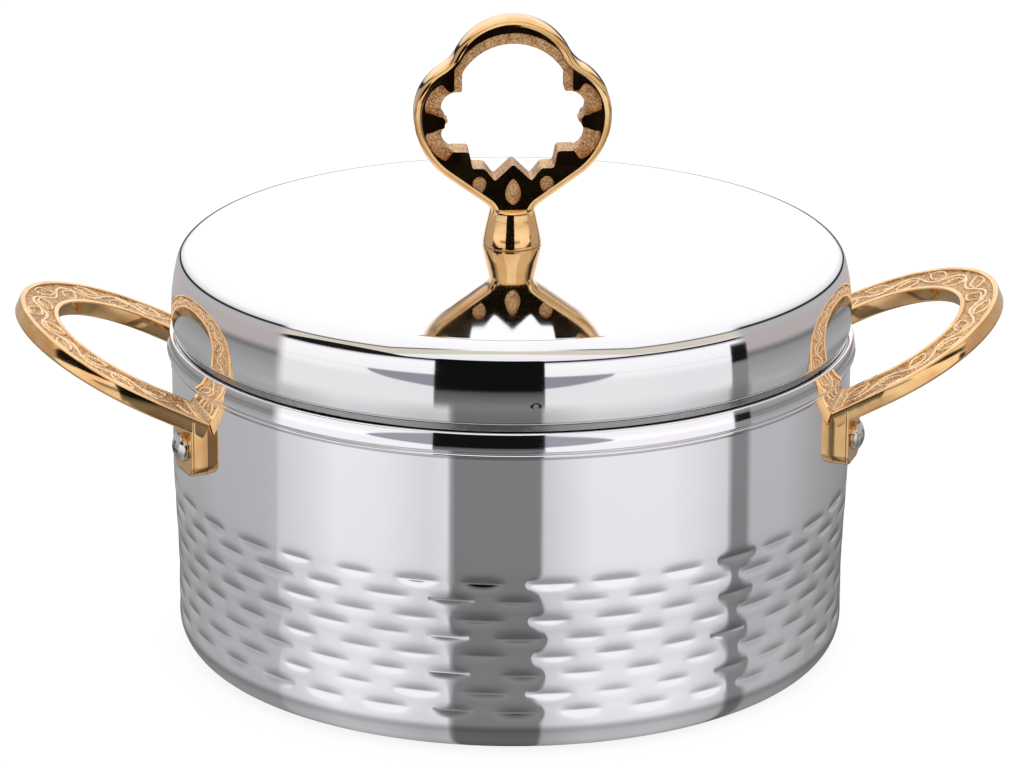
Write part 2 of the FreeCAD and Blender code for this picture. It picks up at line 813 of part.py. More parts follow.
def handle_nuts(side):
    nuts = []
    for place, heading in lug_headings(side).items():
        nut = hex_nut(f"nut_{side}_{place}")
        place_radially(nut, nut_outer, screw_height, heading)
        nuts.append(nut)
    return group(f"handle_{side}_nuts", nuts)


# ---------------------------------------------------------------- handles

def handle_backing(side):
    """Curved plate behind the wall that both screws of a handle pass through."""
    label = f"handle_{side}_backing"
    body = new_body(label)
    sketch = new_sketch(body, label + "_section", "XZ_Plane")
    lower = screw_height - size.backing_height / 2
    upper = screw_height + size.backing_height / 2
    draw(sketch, [
        (backing_inner, lower),
        (backing_outer, lower),
        (backing_outer, upper),
        (backing_inner, upper),
    ])
    plate = body.newObject("PartDesign::Revolution", label + "_plate")
    plate.Profile = sketch
    plate.ReferenceAxis = (sketch, ["V_Axis"])
    plate.Midplane = True
    plate.Angle = backing_spread.value
    tie(plate, "Angle", backing_spread)
    doc.recompute()
    for place, heading in (("front", -lug_azimuth), ("back", lug_azimuth)):
        radial_hole(body, f"{label}_hole_{place}", heading)
    body.Placement = facing_placement(side)
    return body


def heading_sketch(body, name, heading, role="YZ_Plane"):
    """Upright sketch through the bowl's axis that faces along a heading or, on the XZ plane, lies
    along it."""
    sense = math.copysign(1, heading.value)
    angle = heading if sense > 0 else -heading
    turn = FreeCAD.Rotation(FreeCAD.Vector(0, sense, 0), angle.value)
    sketch = new_sketch(body, name, role, FreeCAD.Placement(FreeCAD.Vector(), turn))
    tie(sketch, "AttachmentOffset.Rotation.Angle", angle)
    return sketch


def radial_hole(body, name, heading):
    """Drills the screw's clearance hole outward from the bowl's axis along a heading."""
    sketch = heading_sketch(body, name + "_section", heading)
    centre = vector(ZERO, screw_height)
    circle = sketch.addGeometry(Part.Circle(centre, FreeCAD.Vector(0, 0, 1), size.screw_hole.value))
    pin(sketch, circle, CENTRE, ZERO, screw_height)
    constrain(sketch, "Radius", circle, amount=size.screw_hole)
    return pocket(body, name, sketch, reverse=True)


def loop_path(inset, tail):
    """Horseshoe in the loop's own plane, drawn from the wall's radius outward: both legs end at the
    tail. An inset moves the sides inward."""
    outer = size.loop_radius - inset
    inner = size.loop_radius - size.leg_band + inset
    outer_centre = size.handle_reach - size.loop_radius
    inner_centre = size.handle_reach - size.tip_band - (size.loop_radius - size.leg_band)
    outer_tip = outer_centre + outer
    inner_tip = inner_centre + inner
    return [
        (tail(inner), -inner),
        (tail(outer), -outer),
        (outer_centre, -outer),
        (outer_tip, ZERO, outer, RIGHT),
        (outer_centre, outer, outer, RIGHT),
        (tail(outer), outer),
        (tail(inner), inner),
        (inner_centre, inner),
        (inner_tip, ZERO, inner, LEFT),
        (inner_centre, -inner, inner, LEFT),
    ]


def wall_line(offset):
    """Where the wall is, in the loop's plane, at a distance to the side, with an offset from it."""
    def place(across):
        behind = wall - root(wall * wall - across * across)
        return offset - behind / cosine(size.handle_tilt)
    return place


def loop_sketch(body, name, path):
    """Sketch in the tilted plane of the loop's top."""
    tilt = FreeCAD.Rotation(FreeCAD.Vector(0, -1, 0), size.handle_tilt.value)
    offset = FreeCAD.Placement(FreeCAD.Vector(wall.value, 0, handle_height.value), tilt)
    sketch = new_sketch(body, name, "XY_Plane", offset)
    tie(sketch, "AttachmentOffset.Base.x", wall)
    tie(sketch, "AttachmentOffset.Base.z", handle_height)
    tie(sketch, "AttachmentOffset.Rotation.Angle", size.handle_tilt)
    draw(sketch, path)
    return sketch


def lug(body):
    """Lug at the front screw's heading, seen along that heading: rounded lower corners, and an upper
    end inside the loop. It starts at the axis, and the wall's seat trims it later."""
    middle = (wall + size.lug_thick / 2) * cosine(lug_azimuth)
    slope = (wall - middle) * tangent(size.handle_tilt)
    top = handle_height - slope - size.loop_thick / 2 / cosine(size.handle_tilt)
    low = lug_bottom
    half = size.lug_width / 2
    corner = size.lug_corner
    sketch = heading_sketch(body, "lug_section", -lug_azimuth)
    draw(sketch, [
        (-half, top),
        (-half, low + corner),
        (-half + corner, low, corner, RIGHT),
        (half - corner, low),
        (half, low + corner, corner, RIGHT),
        (half, top),
    ])
    return pad(body, "lug", sketch, lug_face)


def round_loop(body):
    """Rounds the loop's lower edges, all but the ends that the wall trims."""
    slope = size.handle_tilt.value
    normal = FreeCAD.Rotation(FreeCAD.Vector(0, -1, 0), slope).multVec(FreeCAD.Vector(0, 0, 1))
    corner = FreeCAD.Vector(wall.value, 0, handle_height.value)
    tail = wall_line(-size.leg_tail)(size.loop_radius)
    end = wall.value + tail.value * math.cos(math.radians(slope))

    def is_low(edge):
        ends = [edge.valueAt(edge.FirstParameter), edge.valueAt(edge.LastParameter)]
        depths = [(corner - place).dot(normal) for place in ends]
        on_underside = min(depths) > size.loop_thick.value - gap.value
        return on_underside and max(place.x for place in ends) > end + size.leg_tail.value
    round_edges(body, "loop_underside", size.loop_round, is_low)


def lug_root(body):
    """Web with a concave arc that fills the corner between the lug's outer face and the loop."""
    radius = size.lug_root_fillet
    bite = radius / 2
    slope = tangent(size.handle_tilt) * cosine(lug_azimuth)
    length = root(slope * slope + 1)
    along, rise = as_size(1) / length, slope / length
    reach = radius * along / (rise + 1)
    corner = handle_height + (lug_face * cosine(lug_azimuth) - wall) * tangent(size.handle_tilt) \
        - size.loop_thick / cosine(size.handle_tilt)
    sketch = heading_sketch(body, "lug_root_section", -lug_azimuth, "XZ_Plane")
    draw(sketch, [
        (lug_face - bite, corner - reach),
        (lug_face, corner - reach),
        (lug_face + reach * along, corner + reach * rise, radius, LEFT),
        (lug_face + reach * along, corner + reach * rise + bite),
        (lug_face - bite, corner + reach * rise + bite),
    ])
    return pad(body, "lug_root", sketch, size.lug_width, both_sides=True)


def seat_on_wall(body):
    """Trims the handle to the bowl's wall."""
    above = FreeCAD.Placement(FreeCAD.Vector(0, 0, lid_top.value), FreeCAD.Rotation())
    sketch = new_sketch(body, "wall_section", "XY_Plane", above)
    tie(sketch, "AttachmentOffset.Base.z", lid_top)
    reach = wall + gap
    circle = sketch.addGeometry(Part.Circle(FreeCAD.Vector(), FreeCAD.Vector(0, 0, 1), reach.value))
    pin(sketch, circle, CENTRE, ZERO, ZERO)
    constrain(sketch, "Radius", circle, amount=reach)
    pocket(body, "wall_seat", sketch)


def handle(side):
    """Cast handle: tilted loop with a sunk band, and two lugs turned down against the wall."""
    body = new_body(f"handle_{side}")
    tail = wall_line(-size.leg_tail)(size.loop_radius)
    loop = loop_sketch(body, "loop_plan", loop_path(ZERO, lambda across: tail))
    pad(body, "loop", loop, size.loop_thick, reverse=True)
    round_loop(body)
    block = lug(body)
    web = lug_root(body)
    doc.recompute()
    hole = radial_hole(body, "lug_hole", -lug_azimuth)
    mirror(body, "both_lugs", [block, web, hole], "XZ_Plane")
    seat_on_wall(body)
    ground = loop_sketch(body, "ground_plan", loop_path(size.rim_width, wall_line(size.ground_end)))
    pocket(body, "ground", ground, size.ground_depth)
    body.Placement = facing_placement(side)
    return body


# ---------------------------------------------------------------- knob

def meet(centre_a, reach_a, centre_b, reach_b):
    """The point at those distances from two centres that lies to the right of the way from a to b."""
    line = centre_b - centre_a
    along = (reach_a ** 2 - reach_b ** 2 + line.Length ** 2) / (2 * line.Length)
    across = math.sqrt(reach_a ** 2 - along ** 2)
    forward = FreeCAD.Vector(line).normalize()
    left = FreeCAD.Vector(-forward.y, forward.x, 0)
    return centre_a + forward * along + left * across


def arc_about(centre, start, finish):
    """Counterclockwise arc about a centre."""
    radius = (start - centre).Length
    first = math.atan2(start.y - centre.y, start.x - centre.x)
    last = math.atan2(finish.y - centre.y, finish.x - centre.x)
    return Part.ArcOfCircle(Part.Circle(centre, FreeCAD.Vector(0, 0, 1), radius), first, last)


def flank_arc_radius():
    """Arc that is upright at the ring's widest point and leaves the straight side its run."""
    across = size.knob_half_width - size.neck_radius - size.neck_sweep
    rise = size.lobe_height - size.neck_height
    straight = size.neck_sweep * size.neck_sweep + size.side_run * size.side_run
    return (across * across + rise * rise - straight) / ((across + size.neck_sweep) * 2)


def half_ring(body):
    """Right half of the ring's outline: neck, flank, lobe, waist and crown, each tangent to the next."""
    sketch = new_sketch(body, "ring_outline", "XZ_Plane")
    flank_radius = flank_arc_radius()
    neck_centre = vector(size.neck_radius + size.neck_sweep, size.neck_height)
    flank_centre = vector(size.knob_half_width - flank_radius, size.lobe_height)
    lobe_centre = vector(size.knob_half_width - size.lobe_radius, size.lobe_height)
    crown_centre = vector(ZERO, size.knob_height - size.crown_radius)
    crown, lobe = size.crown_radius.value, size.lobe_radius.value
    waist, flank, sweep = size.waist_radius.value, flank_radius.value, size.neck_sweep.value
    waist_centre = meet(lobe_centre, lobe + waist, crown_centre, crown + waist)
    if waist_centre.x < 0:
        waist_centre = meet(crown_centre, crown + waist, lobe_centre, lobe + waist)
    between = flank_centre - neck_centre
    lean = math.acos((flank + sweep) / between.Length) - math.atan2(between.x, between.y)
    normal = FreeCAD.Vector(math.sin(lean), -math.cos(lean), 0)
    neck = vector(size.neck_radius, size.neck_height)
    neck_end = neck_centre - normal * sweep
    flank_start = flank_centre + normal * flank
    widest = vector(size.knob_half_width, size.lobe_height)
    lobe_end = lobe_centre + (waist_centre - lobe_centre).normalize() * lobe
    crown_start = crown_centre + (waist_centre - crown_centre).normalize() * crown
    top = vector(ZERO, size.knob_height)
    bottom = vector(ZERO, size.neck_height)
    axis = sketch.addGeometry(Part.LineSegment(top, bottom))
    base = sketch.addGeometry(Part.LineSegment(bottom, neck))
    neck_arc = sketch.addGeometry(arc_about(neck_centre, neck_end, neck))
    side = sketch.addGeometry(Part.LineSegment(neck_end, flank_start))
    flank_arc = sketch.addGeometry(arc_about(flank_centre, flank_start, widest))
    lobe_arc = sketch.addGeometry(arc_about(lobe_centre, widest, lobe_end))
    waist_arc = sketch.addGeometry(arc_about(waist_centre, crown_start, lobe_end))
    crown_arc = sketch.addGeometry(arc_about(crown_centre, crown_start, top))
    for joint in ((axis, END, base, START), (base, END, neck_arc, END), (crown_arc, END, axis, START)):
        sketch.addConstraint(Sketcher.Constraint("Coincident", *joint))
    for joint in (
            (neck_arc, START, side, START),
            (side, END, flank_arc, START),
            (flank_arc, END, lobe_arc, START),
            (lobe_arc, END, waist_arc, END),
            (waist_arc, START, crown_arc, START)):
        sketch.addConstraint(Sketcher.Constraint("Tangent", *joint))
    for arc, radius in ((neck_arc, size.neck_sweep), (flank_arc, flank_radius),
                        (lobe_arc, size.lobe_radius), (waist_arc, size.waist_radius),
                        (crown_arc, size.crown_radius)):
        constrain(sketch, "Radius", arc, amount=radius)
    pin(sketch, axis, START, ZERO, size.knob_height)
    pin(sketch, base, START, ZERO, size.neck_height)
    pin(sketch, base, END, size.neck_radius, size.neck_height)
    pin(sketch, flank_arc, END, size.knob_half_width, size.lobe_height)
    constrain(sketch, "DistanceY", neck_arc, CENTRE, amount=size.neck_height)
    constrain(sketch, "DistanceY", flank_arc, CENTRE, amount=size.lobe_height)
    sketch.addConstraint(Sketcher.Constraint("PointOnObject", crown_arc, CENTRE, Y_AXIS))
    return sketch


def both_halves(first, half, last):
    """Closed path from its lowest middle point, the steps of its right half upward, and its highest
    middle point. The left half is the right one's mirror image."""
    path = [first] + half + [last]
    arrivals = [step[2:] for step in path[1:]]
    for index in range(len(half) - 1, -1, -1):
        path.append((-half[index][0], half[index][1], *arrivals[index + 1]))
    return path


def eye_path():
    """The pierced eye: middle tooth, notches, steps, shelves, cusped side notches, fangs and arch."""
    floor = size.eye_floor
    arch_foot = floor + size.arch_rise
    arch_top = size.knob_height - size.crown_band
    arch = cap_radius(size.arch_half_width, arch_top - arch_foot)
    half = [
        (size.vee_out, floor - size.vee_drop),
        (size.step_in, floor),
        (size.step_out, floor),
        (size.shelf_in, floor + size.shelf_rise),
        (size.shelf_out, floor + size.shelf_rise),
        (size.cusp_out, floor + size.cusp_rise, size.low_notch_radius, RIGHT),
        (size.fang_out, floor + size.fang_rise, size.high_notch_radius, RIGHT),
        (size.arch_half_width, floor + size.fang_rise),
        (size.arch_half_width, arch_foot),
    ]
    return both_halves((ZERO, floor + size.tooth_rise), half, (ZERO, arch_top, arch, RIGHT))


def ledge_path():
    """The wider outline of the eye on the face: side pockets parted by a spur, fang and arch. Its
    lower side lies in the open eye."""
    floor = size.eye_floor
    fang = floor + size.ledge_fang_rise
    arch_foot = floor + size.ledge_arch_rise
    arch_top = size.knob_height - size.ledge_band
    arch = cap_radius(size.ledge_arch_half, arch_top - arch_foot)
    start = floor + size.ledge_start_rise
    half = [
        (size.ledge_start, start),
        (size.ledge_low_out, floor + size.ledge_low_rise),
        (size.ledge_spur_root, floor + size.ledge_spur_under, size.ledge_low_arc, RIGHT),
        (size.ledge_spur_tip, floor + size.ledge_spur_rise),
        (size.ledge_spur_root, floor + size.ledge_spur_over),
        (size.ledge_high_out, floor + size.ledge_high_rise, size.ledge_high_arc, RIGHT),
        (size.ledge_fang_out, fang),
        (size.ledge_arch_half, fang),
        (size.ledge_arch_half, arch_foot),
    ]
    return both_halves((ZERO, start), half, (ZERO, arch_top, arch, RIGHT))


def leaf_path(middle, widest, half_width, below, above):
    """Upright leaf of four arcs about the middle of its widest part."""
    low = cap_radius(below, half_width)
    high = cap_radius(above, half_width)
    return [
        (middle, widest - below, low, RIGHT),
        (middle + half_width, widest, low, RIGHT),
        (middle, widest + above, high, RIGHT),
        (middle - half_width, widest, high, RIGHT),
    ]


def sink_in_face(body, name, path, depth):
    """Sinks a path in the ring's front face."""
    half_thick = size.knob_thick / 2
    offset = FreeCAD.Placement(FreeCAD.Vector(0, 0, half_thick.value), FreeCAD.Rotation())
    sketch = new_sketch(body, name + "_outline", "XZ_Plane", offset)
    tie(sketch, "AttachmentOffset.Base.z", half_thick)
    draw(sketch, path)
    return pocket(body, name, sketch, depth)


def face_ornament(body):
    """Ledge round the eye, two drops and a flame, sunk in both faces of the ring."""
    floor = size.eye_floor
    sunk = [sink_in_face(body, "ledge", ledge_path(), size.ledge_depth)]
    for side, middle in (("right", size.drop_out), ("left", -size.drop_out)):
        drop = leaf_path(middle, floor - size.drop_fall, size.drop_half_width, size.drop_tail,
                         size.drop_head)
        sunk.append(sink_in_face(body, "drop_" + side, drop, size.inlay_depth))
    flame = leaf_path(ZERO, floor - size.flame_fall, size.flame_half_width, size.flame_base,
                      size.flame_tip)
    sunk.append(sink_in_face(body, "flame", flame, size.inlay_depth))
    mirror(body, "both_faces", sunk, "XZ_Plane")


def knob():
    """Cast knob: a pierced ring with a rounded rim on a turned stem, threaded from below."""
    body = new_body("knob")
    pad(body, "half_ring", half_ring(body), size.knob_thick, both_sides=True)
    doc.recompute()
    mirror(body, "ring", [body.Tip], "YZ_Plane")

    def on_rim(edge):
        place = middle_of(edge)
        on_face = abs(abs(place.y) - size.knob_thick.value / 2) < gap.value
        return on_face and place.z > size.neck_height.value + gap.value
    round_edges(body, "rim", size.knob_round, on_rim)
    shoulder = size.foot_radius - size.foot_shoulder_in
    thread_end = size.knob_thread + size.thread_bottom - gap
    thread = size.screw_radius + gap
    revolve(body, "stem", [
        (thread, ZERO),
        (size.foot_radius, ZERO),
        (size.foot_radius, size.foot_land),
        (shoulder, size.foot_shoulder, size.foot_swell, RIGHT),
        (size.neck_radius, size.neck_height, size.foot_hollow, LEFT),
        (size.neck_radius / 2, size.neck_height + size.stem_rise),
        (ZERO, size.neck_height + size.stem_rise),
        (ZERO, thread_end),
        (thread, thread_end),
    ])
    doc.recompute()
    eye = new_sketch(body, "eye_outline", "XZ_Plane")
    draw(eye, eye_path())
    pocket(body, "eye", eye, size.knob_thick * 2, both_sides=True)
    face_ornament(body)
    seat = lid_top + gap
    body.Placement = FreeCAD.Placement(FreeCAD.Vector(0, 0, seat.value), FreeCAD.Rotation())
    tie(body, "Placement.Base.z", seat)
    return body


# ---------------------------------------------------------------- build and write

def build():
    nodes = [outer_shell(), inner_liner(), body_insulation(), base_plate()]
    nodes.append(plug("base_plug", size.plug_hole, size.plug_head, panel_bottom - gap,
                      plate_top + size.plug_stem))
    for side in SIDES:
        nodes += [handle(side), handle_screws(side), handle_backing(side), handle_nuts(side)]
    nodes += [lid_shell(), lid_liner(), lid_insulation()]
    nodes.append(plug("lid_plug", size.lid_plug_hole, size.lid_plug_head, lid_ceiling - gap,
                      lid_ceiling + gauge + size.plug_stem))
    nodes += [knob(), knob_screw(), knob_washer()]
    doc.recompute()
    return nodes


def check(nodes):
    """Stops the build if any feature failed or any piece is not a sound solid."""
    for item in doc.Objects:
        if {"Invalid", "Error"} & set(item.State):
            raise RuntimeError(f"{item.Label} failed: {item.State}")
    for item in nodes:
        if item.Shape.isNull() or not item.Shape.isValid() or not item.Shape.Solids:
            raise RuntimeError(f"{item.Label} is not a sound solid")


def write(nodes):
    os.makedirs("parts", exist_ok=True)
    for item in nodes:
        item.Shape.exportStep(f"parts/{item.Label}.step")
        box = item.Shape.BoundBox
        print(f"{item.Label:24s} solids {len(item.Shape.Solids)} volume {item.Shape.Volume:12.1f}"
              f"  z {box.ZMin:7.2f} {box.ZMax:7.2f}  x {box.XMin:8.2f} {box.XMax:8.2f}")


pieces = build()
check(pieces)
write(pieces)
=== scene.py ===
import math

import bpy
import numpy as np
from mathutils import Matrix, Vector
from mathutils.geometry import delaunay_2d_cdt


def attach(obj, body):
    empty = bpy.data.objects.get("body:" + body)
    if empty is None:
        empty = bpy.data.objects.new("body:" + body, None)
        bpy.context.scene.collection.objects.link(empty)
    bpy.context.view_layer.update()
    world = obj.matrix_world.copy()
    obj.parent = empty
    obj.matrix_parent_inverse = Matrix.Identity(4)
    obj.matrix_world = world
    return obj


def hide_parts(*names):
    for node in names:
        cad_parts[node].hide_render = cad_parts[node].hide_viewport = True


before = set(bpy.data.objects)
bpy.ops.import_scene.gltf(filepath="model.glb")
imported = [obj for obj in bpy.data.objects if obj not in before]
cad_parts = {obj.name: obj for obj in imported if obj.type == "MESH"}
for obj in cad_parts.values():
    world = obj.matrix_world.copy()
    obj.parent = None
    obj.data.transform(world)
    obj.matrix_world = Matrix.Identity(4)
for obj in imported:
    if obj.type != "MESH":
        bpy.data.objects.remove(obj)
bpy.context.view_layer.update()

# Insulated chapati casserole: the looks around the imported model. Lengths below are millimetres
# and are turned to metres where a mesh or a material is made. The bowl stands on z = 0 about the
# Z axis and the handles lie along X.
MM = 0.001
FULL = 2 * math.pi
RIGHT, LEFT = -1.0, 1.0


# ---- camera ----

CAMERA_TURN = math.radians(4)          # the camera stands this far to the left of the front
CAMERA_DISTANCE = 1512.2
CAMERA_HEIGHT = 587.8
AIM_HEIGHT = 85.1
AIM_SIDE = 0.3
LENS = 172.1
SENSOR = 36.0
ROLL = math.radians(0.3)

FRONT = Vector((-math.sin(CAMERA_TURN), -math.cos(CAMERA_TURN), 0))
SIDE = Vector((math.cos(CAMERA_TURN), -math.sin(CAMERA_TURN), 0))


def make_camera():
    data = bpy.data.cameras.new("camera")
    data.lens = LENS
    data.sensor_width = SENSOR
    data.clip_start = 0.05
    data.clip_end = 50
    camera = bpy.data.objects.new("camera", data)
    bpy.context.scene.collection.objects.link(camera)
    place = FRONT * CAMERA_DISTANCE + Vector((0, 0, CAMERA_HEIGHT))
    aim = Vector((AIM_SIDE, 0, AIM_HEIGHT))
    look = (aim - place).to_track_quat("-Z", "Y").to_matrix().to_4x4()
    camera.matrix_world = Matrix.Translation(place * MM) @ look @ Matrix.Rotation(ROLL, 4, "Z")
    bpy.context.scene.camera = camera


make_camera()


# ---- shader graphs ----

class Graph:
    """Adds nodes to a shader tree, one call a node, and links what they take."""

    def __init__(self, tree):
        self.tree = tree
        tree.nodes.clear()

    def add(self, kind, settings=None, **inputs):
        node = self.tree.nodes.new("ShaderNode" + kind)
        for name, value in (settings or {}).items():
            setattr(node, name, value)
        for name, value in inputs.items():
            self.feed(node.inputs[name.replace("_", " ")], value)
        return node

    def feed(self, socket, value):
        if isinstance(value, bpy.types.NodeSocket):
            self.tree.links.new(value, socket)
        elif value is not None:
            socket.default_value = (*value, 1) if socket.type == "RGBA" else value

    def show(self, shader, output="OutputMaterial"):
        self.feed(self.add(output).inputs["Surface"], shader.outputs[0])

    def math(self, operation, first, second=None, clamp=False):
        node = self.add("Math", {"operation": operation, "use_clamp": clamp})
        for socket, value in zip(node.inputs, (first, second)):
            self.feed(socket, value)
        return node.outputs[0]

    def plus(self, first, second):
        return self.math("ADD", first, second)

    def minus(self, first, second, clamp=False):
        return self.math("SUBTRACT", first, second, clamp)

    def times(self, first, second):
        return self.math("MULTIPLY", first, second)

    def vector(self, operation, first, second=None):
        node = self.add("VectorMath", {"operation": operation})
        for socket, value in zip(node.inputs, (first, second)):
            self.feed(socket, value)
        return node.outputs["Value" if operation in ("DOT_PRODUCT", "LENGTH") else "Vector"]

    def span(self, value, start, end, low=0.0, high=1.0, smooth=True):
        """Maps start..end to low..high and holds the ends."""
        kind = "SMOOTHSTEP" if smooth else "LINEAR"
        node = self.add("MapRange", {"interpolation_type": kind}, Value=value)
        for socket, number in zip(node.inputs[1:5], (start, end, low, high)):
            socket.default_value = number
        return node.outputs["Result"]

    def mix(self, factor, first, second):
        """Colour or grey mix of two values."""
        node = self.add("Mix", {"data_type": "RGBA"}, Factor=factor)
        self.feed(node.inputs[6], first)
        self.feed(node.inputs[7], second)
        return node.outputs[2]

    def ramp(self, value, stops, start, end):
        """Colour ramp over start..end. A stop is (place, grey) or (place, red, green, blue)."""
        share = self.span(value, start, end, smooth=False)
        node = self.add("ValToRGB", None, Fac=share)
        elements = node.color_ramp.elements
        while len(elements) < len(stops):
            elements.new(0.5)
        for element, (place, *tone) in zip(elements, stops):
            element.position = (place - start) / (end - start)
            red, green, blue = tone if len(tone) == 3 else tone * 3
            element.color = (red, green, blue, 1)
        return node.outputs["Color"]

    def noise(self, coordinate, size, detail=2.0, roughness=0.5):
        """Noise whose features measure about that size in millimetres."""
        return self.add("TexNoise", None, Vector=coordinate, Scale=1 / (size * MM), Detail=detail,
                        Roughness=roughness).outputs["Fac"]

    def cells(self, coordinate, size):
        """Outputs of a cell pattern whose cells measure about that size in millimetres."""
        return self.add("TexVoronoi", None, Vector=coordinate, Scale=1 / (size * MM)).outputs

    def stretched(self, coordinate, scale):
        return self.add("Mapping", None, Vector=coordinate, Scale=scale).outputs["Vector"]

    def bump(self, height, depth, strength=1.0):
        """Bump whose full range measures that depth in millimetres."""
        node = self.add("Bump", None, Height=height, Distance=depth * MM, Strength=strength)
        return node.outputs["Normal"]


# ---- studio ----

# The studio is laid out by the facing of the steel that mirrors each place to the front: the
# heading of that facing from the front, positive to the right, and its rise above level, in degrees.
WALL_GREYS = [
    (-90, 0.252), (-78, 0.386), (-66, 0.403), (-58, 0.462), (-46, 0.479), (-42.8, 0.504), (-42.0, 0.647),
    (-37, 0.722), (-30, 0.874), (-22, 0.84), (-14, 0.722), (-10.3, 0.773), (-9.7, 0.21), (5.3, 0.21),
    (5.6, 0.622), (9, 0.714), (14, 0.84), (27, 0.857), (33, 0.773), (39.0, 0.664), (39.6, 0.227),
    (43.2, 0.227), (44.0, 0.487), (52, 0.487), (62, 0.37), (74, 0.302), (90, 0.235),
]
BELOW_LEVEL = [
    (-90, 0.15), (-70, 0.28), (-50, 0.48), (-35, 0.60), (-20, 0.56), (-14, 0.46), (-10, 0.48),
    (-6, 0.68), (-3, 0.90), (0, 1.0),
]
FRONT_GREYS = [
    (0, 0.97), (4.0, 0.95), (8.0, 0.95), (9.5, 1.08), (14.0, 1.17), (14.8, 0.03),
    (17.6, 0.03), (18.6, 1.02), (45, 1.15), (90, 1.22),
]
FLANK_GREYS = [
    (0, 0.46), (4, 0.42), (8, 0.33), (9.3, 0.19), (11, 0.54, 0.49, 0.48), (17, 0.56, 0.50, 0.49),
    (24, 0.54), (33, 0.53), (34.6, 0.50), (35.6, 0.03), (39.8, 0.03), (41.4, 0.80), (47, 1.0),
    (56, 1.18), (90, 1.22),
]
BLOCK_GREYS = [(0, 0.31), (3, 0.20), (5.6, 0.10), (6.4, 0.006), (90, 0.006)]
SLOT_GREYS = [(0, 0.27), (7.6, 0.27), (8.4, 0.01), (12.6, 0.01), (13.4, 0.45), (90, 0.45)]
SLOT_LEFT, SLOT_RIGHT, SLOT_TOP = 39.6, 43.2, 13.4
CREAM = (0.80, 0.75, 0.62)
CREAM_EDGE = (0.26, 0.25, 0.25)
CREAM_MIDDLE, CREAM_DROP, CREAM_SPAN = 40.0, 13.0, 21.0
CREAM_HALF, CREAM_SWELL = 4.0, 3.0
CRESCENT_HEADING, CRESCENT_HALF = -31.0, 15.0
CRESCENT_LOW, CRESCENT_SWELL = 14.6, 12.0
LENS_TONE = (0.34, 0.34, 0.38)
LENS_TOP, LENS_DEPTH, LENS_HALF = 10.4, 4.6, 21.0
BLOCK_LEFT, BLOCK_RIGHT, BLOCK_TOP = -12.8, 5.6, 19.0
BLOCK_CORNER, BLOCK_CORNER_RISE = 1.3, 2.5
SIDE_EDGE = 41.0
LEVEL_START, LEVEL_END = 0.2, 3.2
CREAM_BORDER, BORDER_SOFT = 4.2, 1.0
CREAM_SOFT, CRESCENT_SOFT, LENS_SOFT, SLOT_SOFT = 0.8, 0.6, 0.2, 0.2
CAMERA_RISE = math.radians(19.07)
GRAZING_TONE = (0.05, 0.05, 0.06)
CRESCENT_TONE = (0.012, 0.012, 0.014)
BACKGROUND = (1.0, 1.0, 1.0)
VIEW_DIRECTION = FRONT * math.cos(CAMERA_RISE) + Vector((0, 0, math.sin(CAMERA_RISE)))


def with_cream(g, front, away, rise):
    """Cream edge of the ceiling light, lower and wider to the sides, with a dark border above it."""
    share = g.math("MINIMUM", g.math("DIVIDE", away, CREAM_SPAN), 1.0)
    middle = g.minus(CREAM_MIDDLE, g.times(g.math("POWER", share, 2.0), CREAM_DROP))
    above = g.minus(rise, middle)
    swell = g.times(share, CREAM_SWELL)
    over = g.minus(above, swell)
    border = g.times(g.span(over, CREAM_HALF - 0.6, CREAM_HALF),
                     g.span(over, CREAM_HALF + CREAM_BORDER, CREAM_HALF + CREAM_BORDER - BORDER_SOFT))
    front = g.mix(g.times(border, g.span(share, 0.25, 0.7)), front, CREAM_EDGE)
    off = g.minus(g.math("ABSOLUTE", above), swell)
    return g.mix(g.span(off, CREAM_HALF + CREAM_SOFT, CREAM_HALF - CREAM_SOFT), front, CREAM)


def with_crescent(g, front, heading, rise):
    """Black crescent left of the middle, flat below and bowed above."""
    aside = g.math("DIVIDE", g.minus(heading, CRESCENT_HEADING), CRESCENT_HALF)
    swell = g.minus(1.0, g.math("POWER", g.math("ABSOLUTE", aside), 2.0), clamp=True)
    over = g.minus(g.minus(rise, CRESCENT_LOW), g.times(swell, CRESCENT_SWELL))
    inside = g.times(g.span(over, CRESCENT_SOFT, 0.0), g.span(rise, CRESCENT_LOW - 0.4, CRESCENT_LOW))
    return g.mix(inside, front, CRESCENT_TONE)


def with_lens(g, front, aside, rise):
    """Grey lens to both sides of the block."""
    taper = g.minus(1.0, g.math("DIVIDE", aside, LENS_HALF), clamp=True)
    low = g.minus(LENS_TOP, g.times(g.math("SQRT", taper), LENS_DEPTH))
    over = g.span(g.minus(rise, low), -LENS_SOFT, LENS_SOFT)
    under = g.span(rise, LENS_TOP + 0.15, LENS_TOP - 0.15)
    return g.mix(g.times(over, under), front, LENS_TONE)


def with_slot(g, tones, heading, rise):
    """Narrow slot on the right."""
    middle, half = (SLOT_LEFT + SLOT_RIGHT) / 2, (SLOT_RIGHT - SLOT_LEFT) / 2
    off = g.math("ABSOLUTE", g.minus(heading, middle))
    inside = g.times(g.span(off, half + SLOT_SOFT, half - SLOT_SOFT),
                     g.span(rise, SLOT_TOP + 0.3, SLOT_TOP - 0.3))
    return g.mix(inside, tones, g.ramp(rise, SLOT_GREYS, 0, 90))


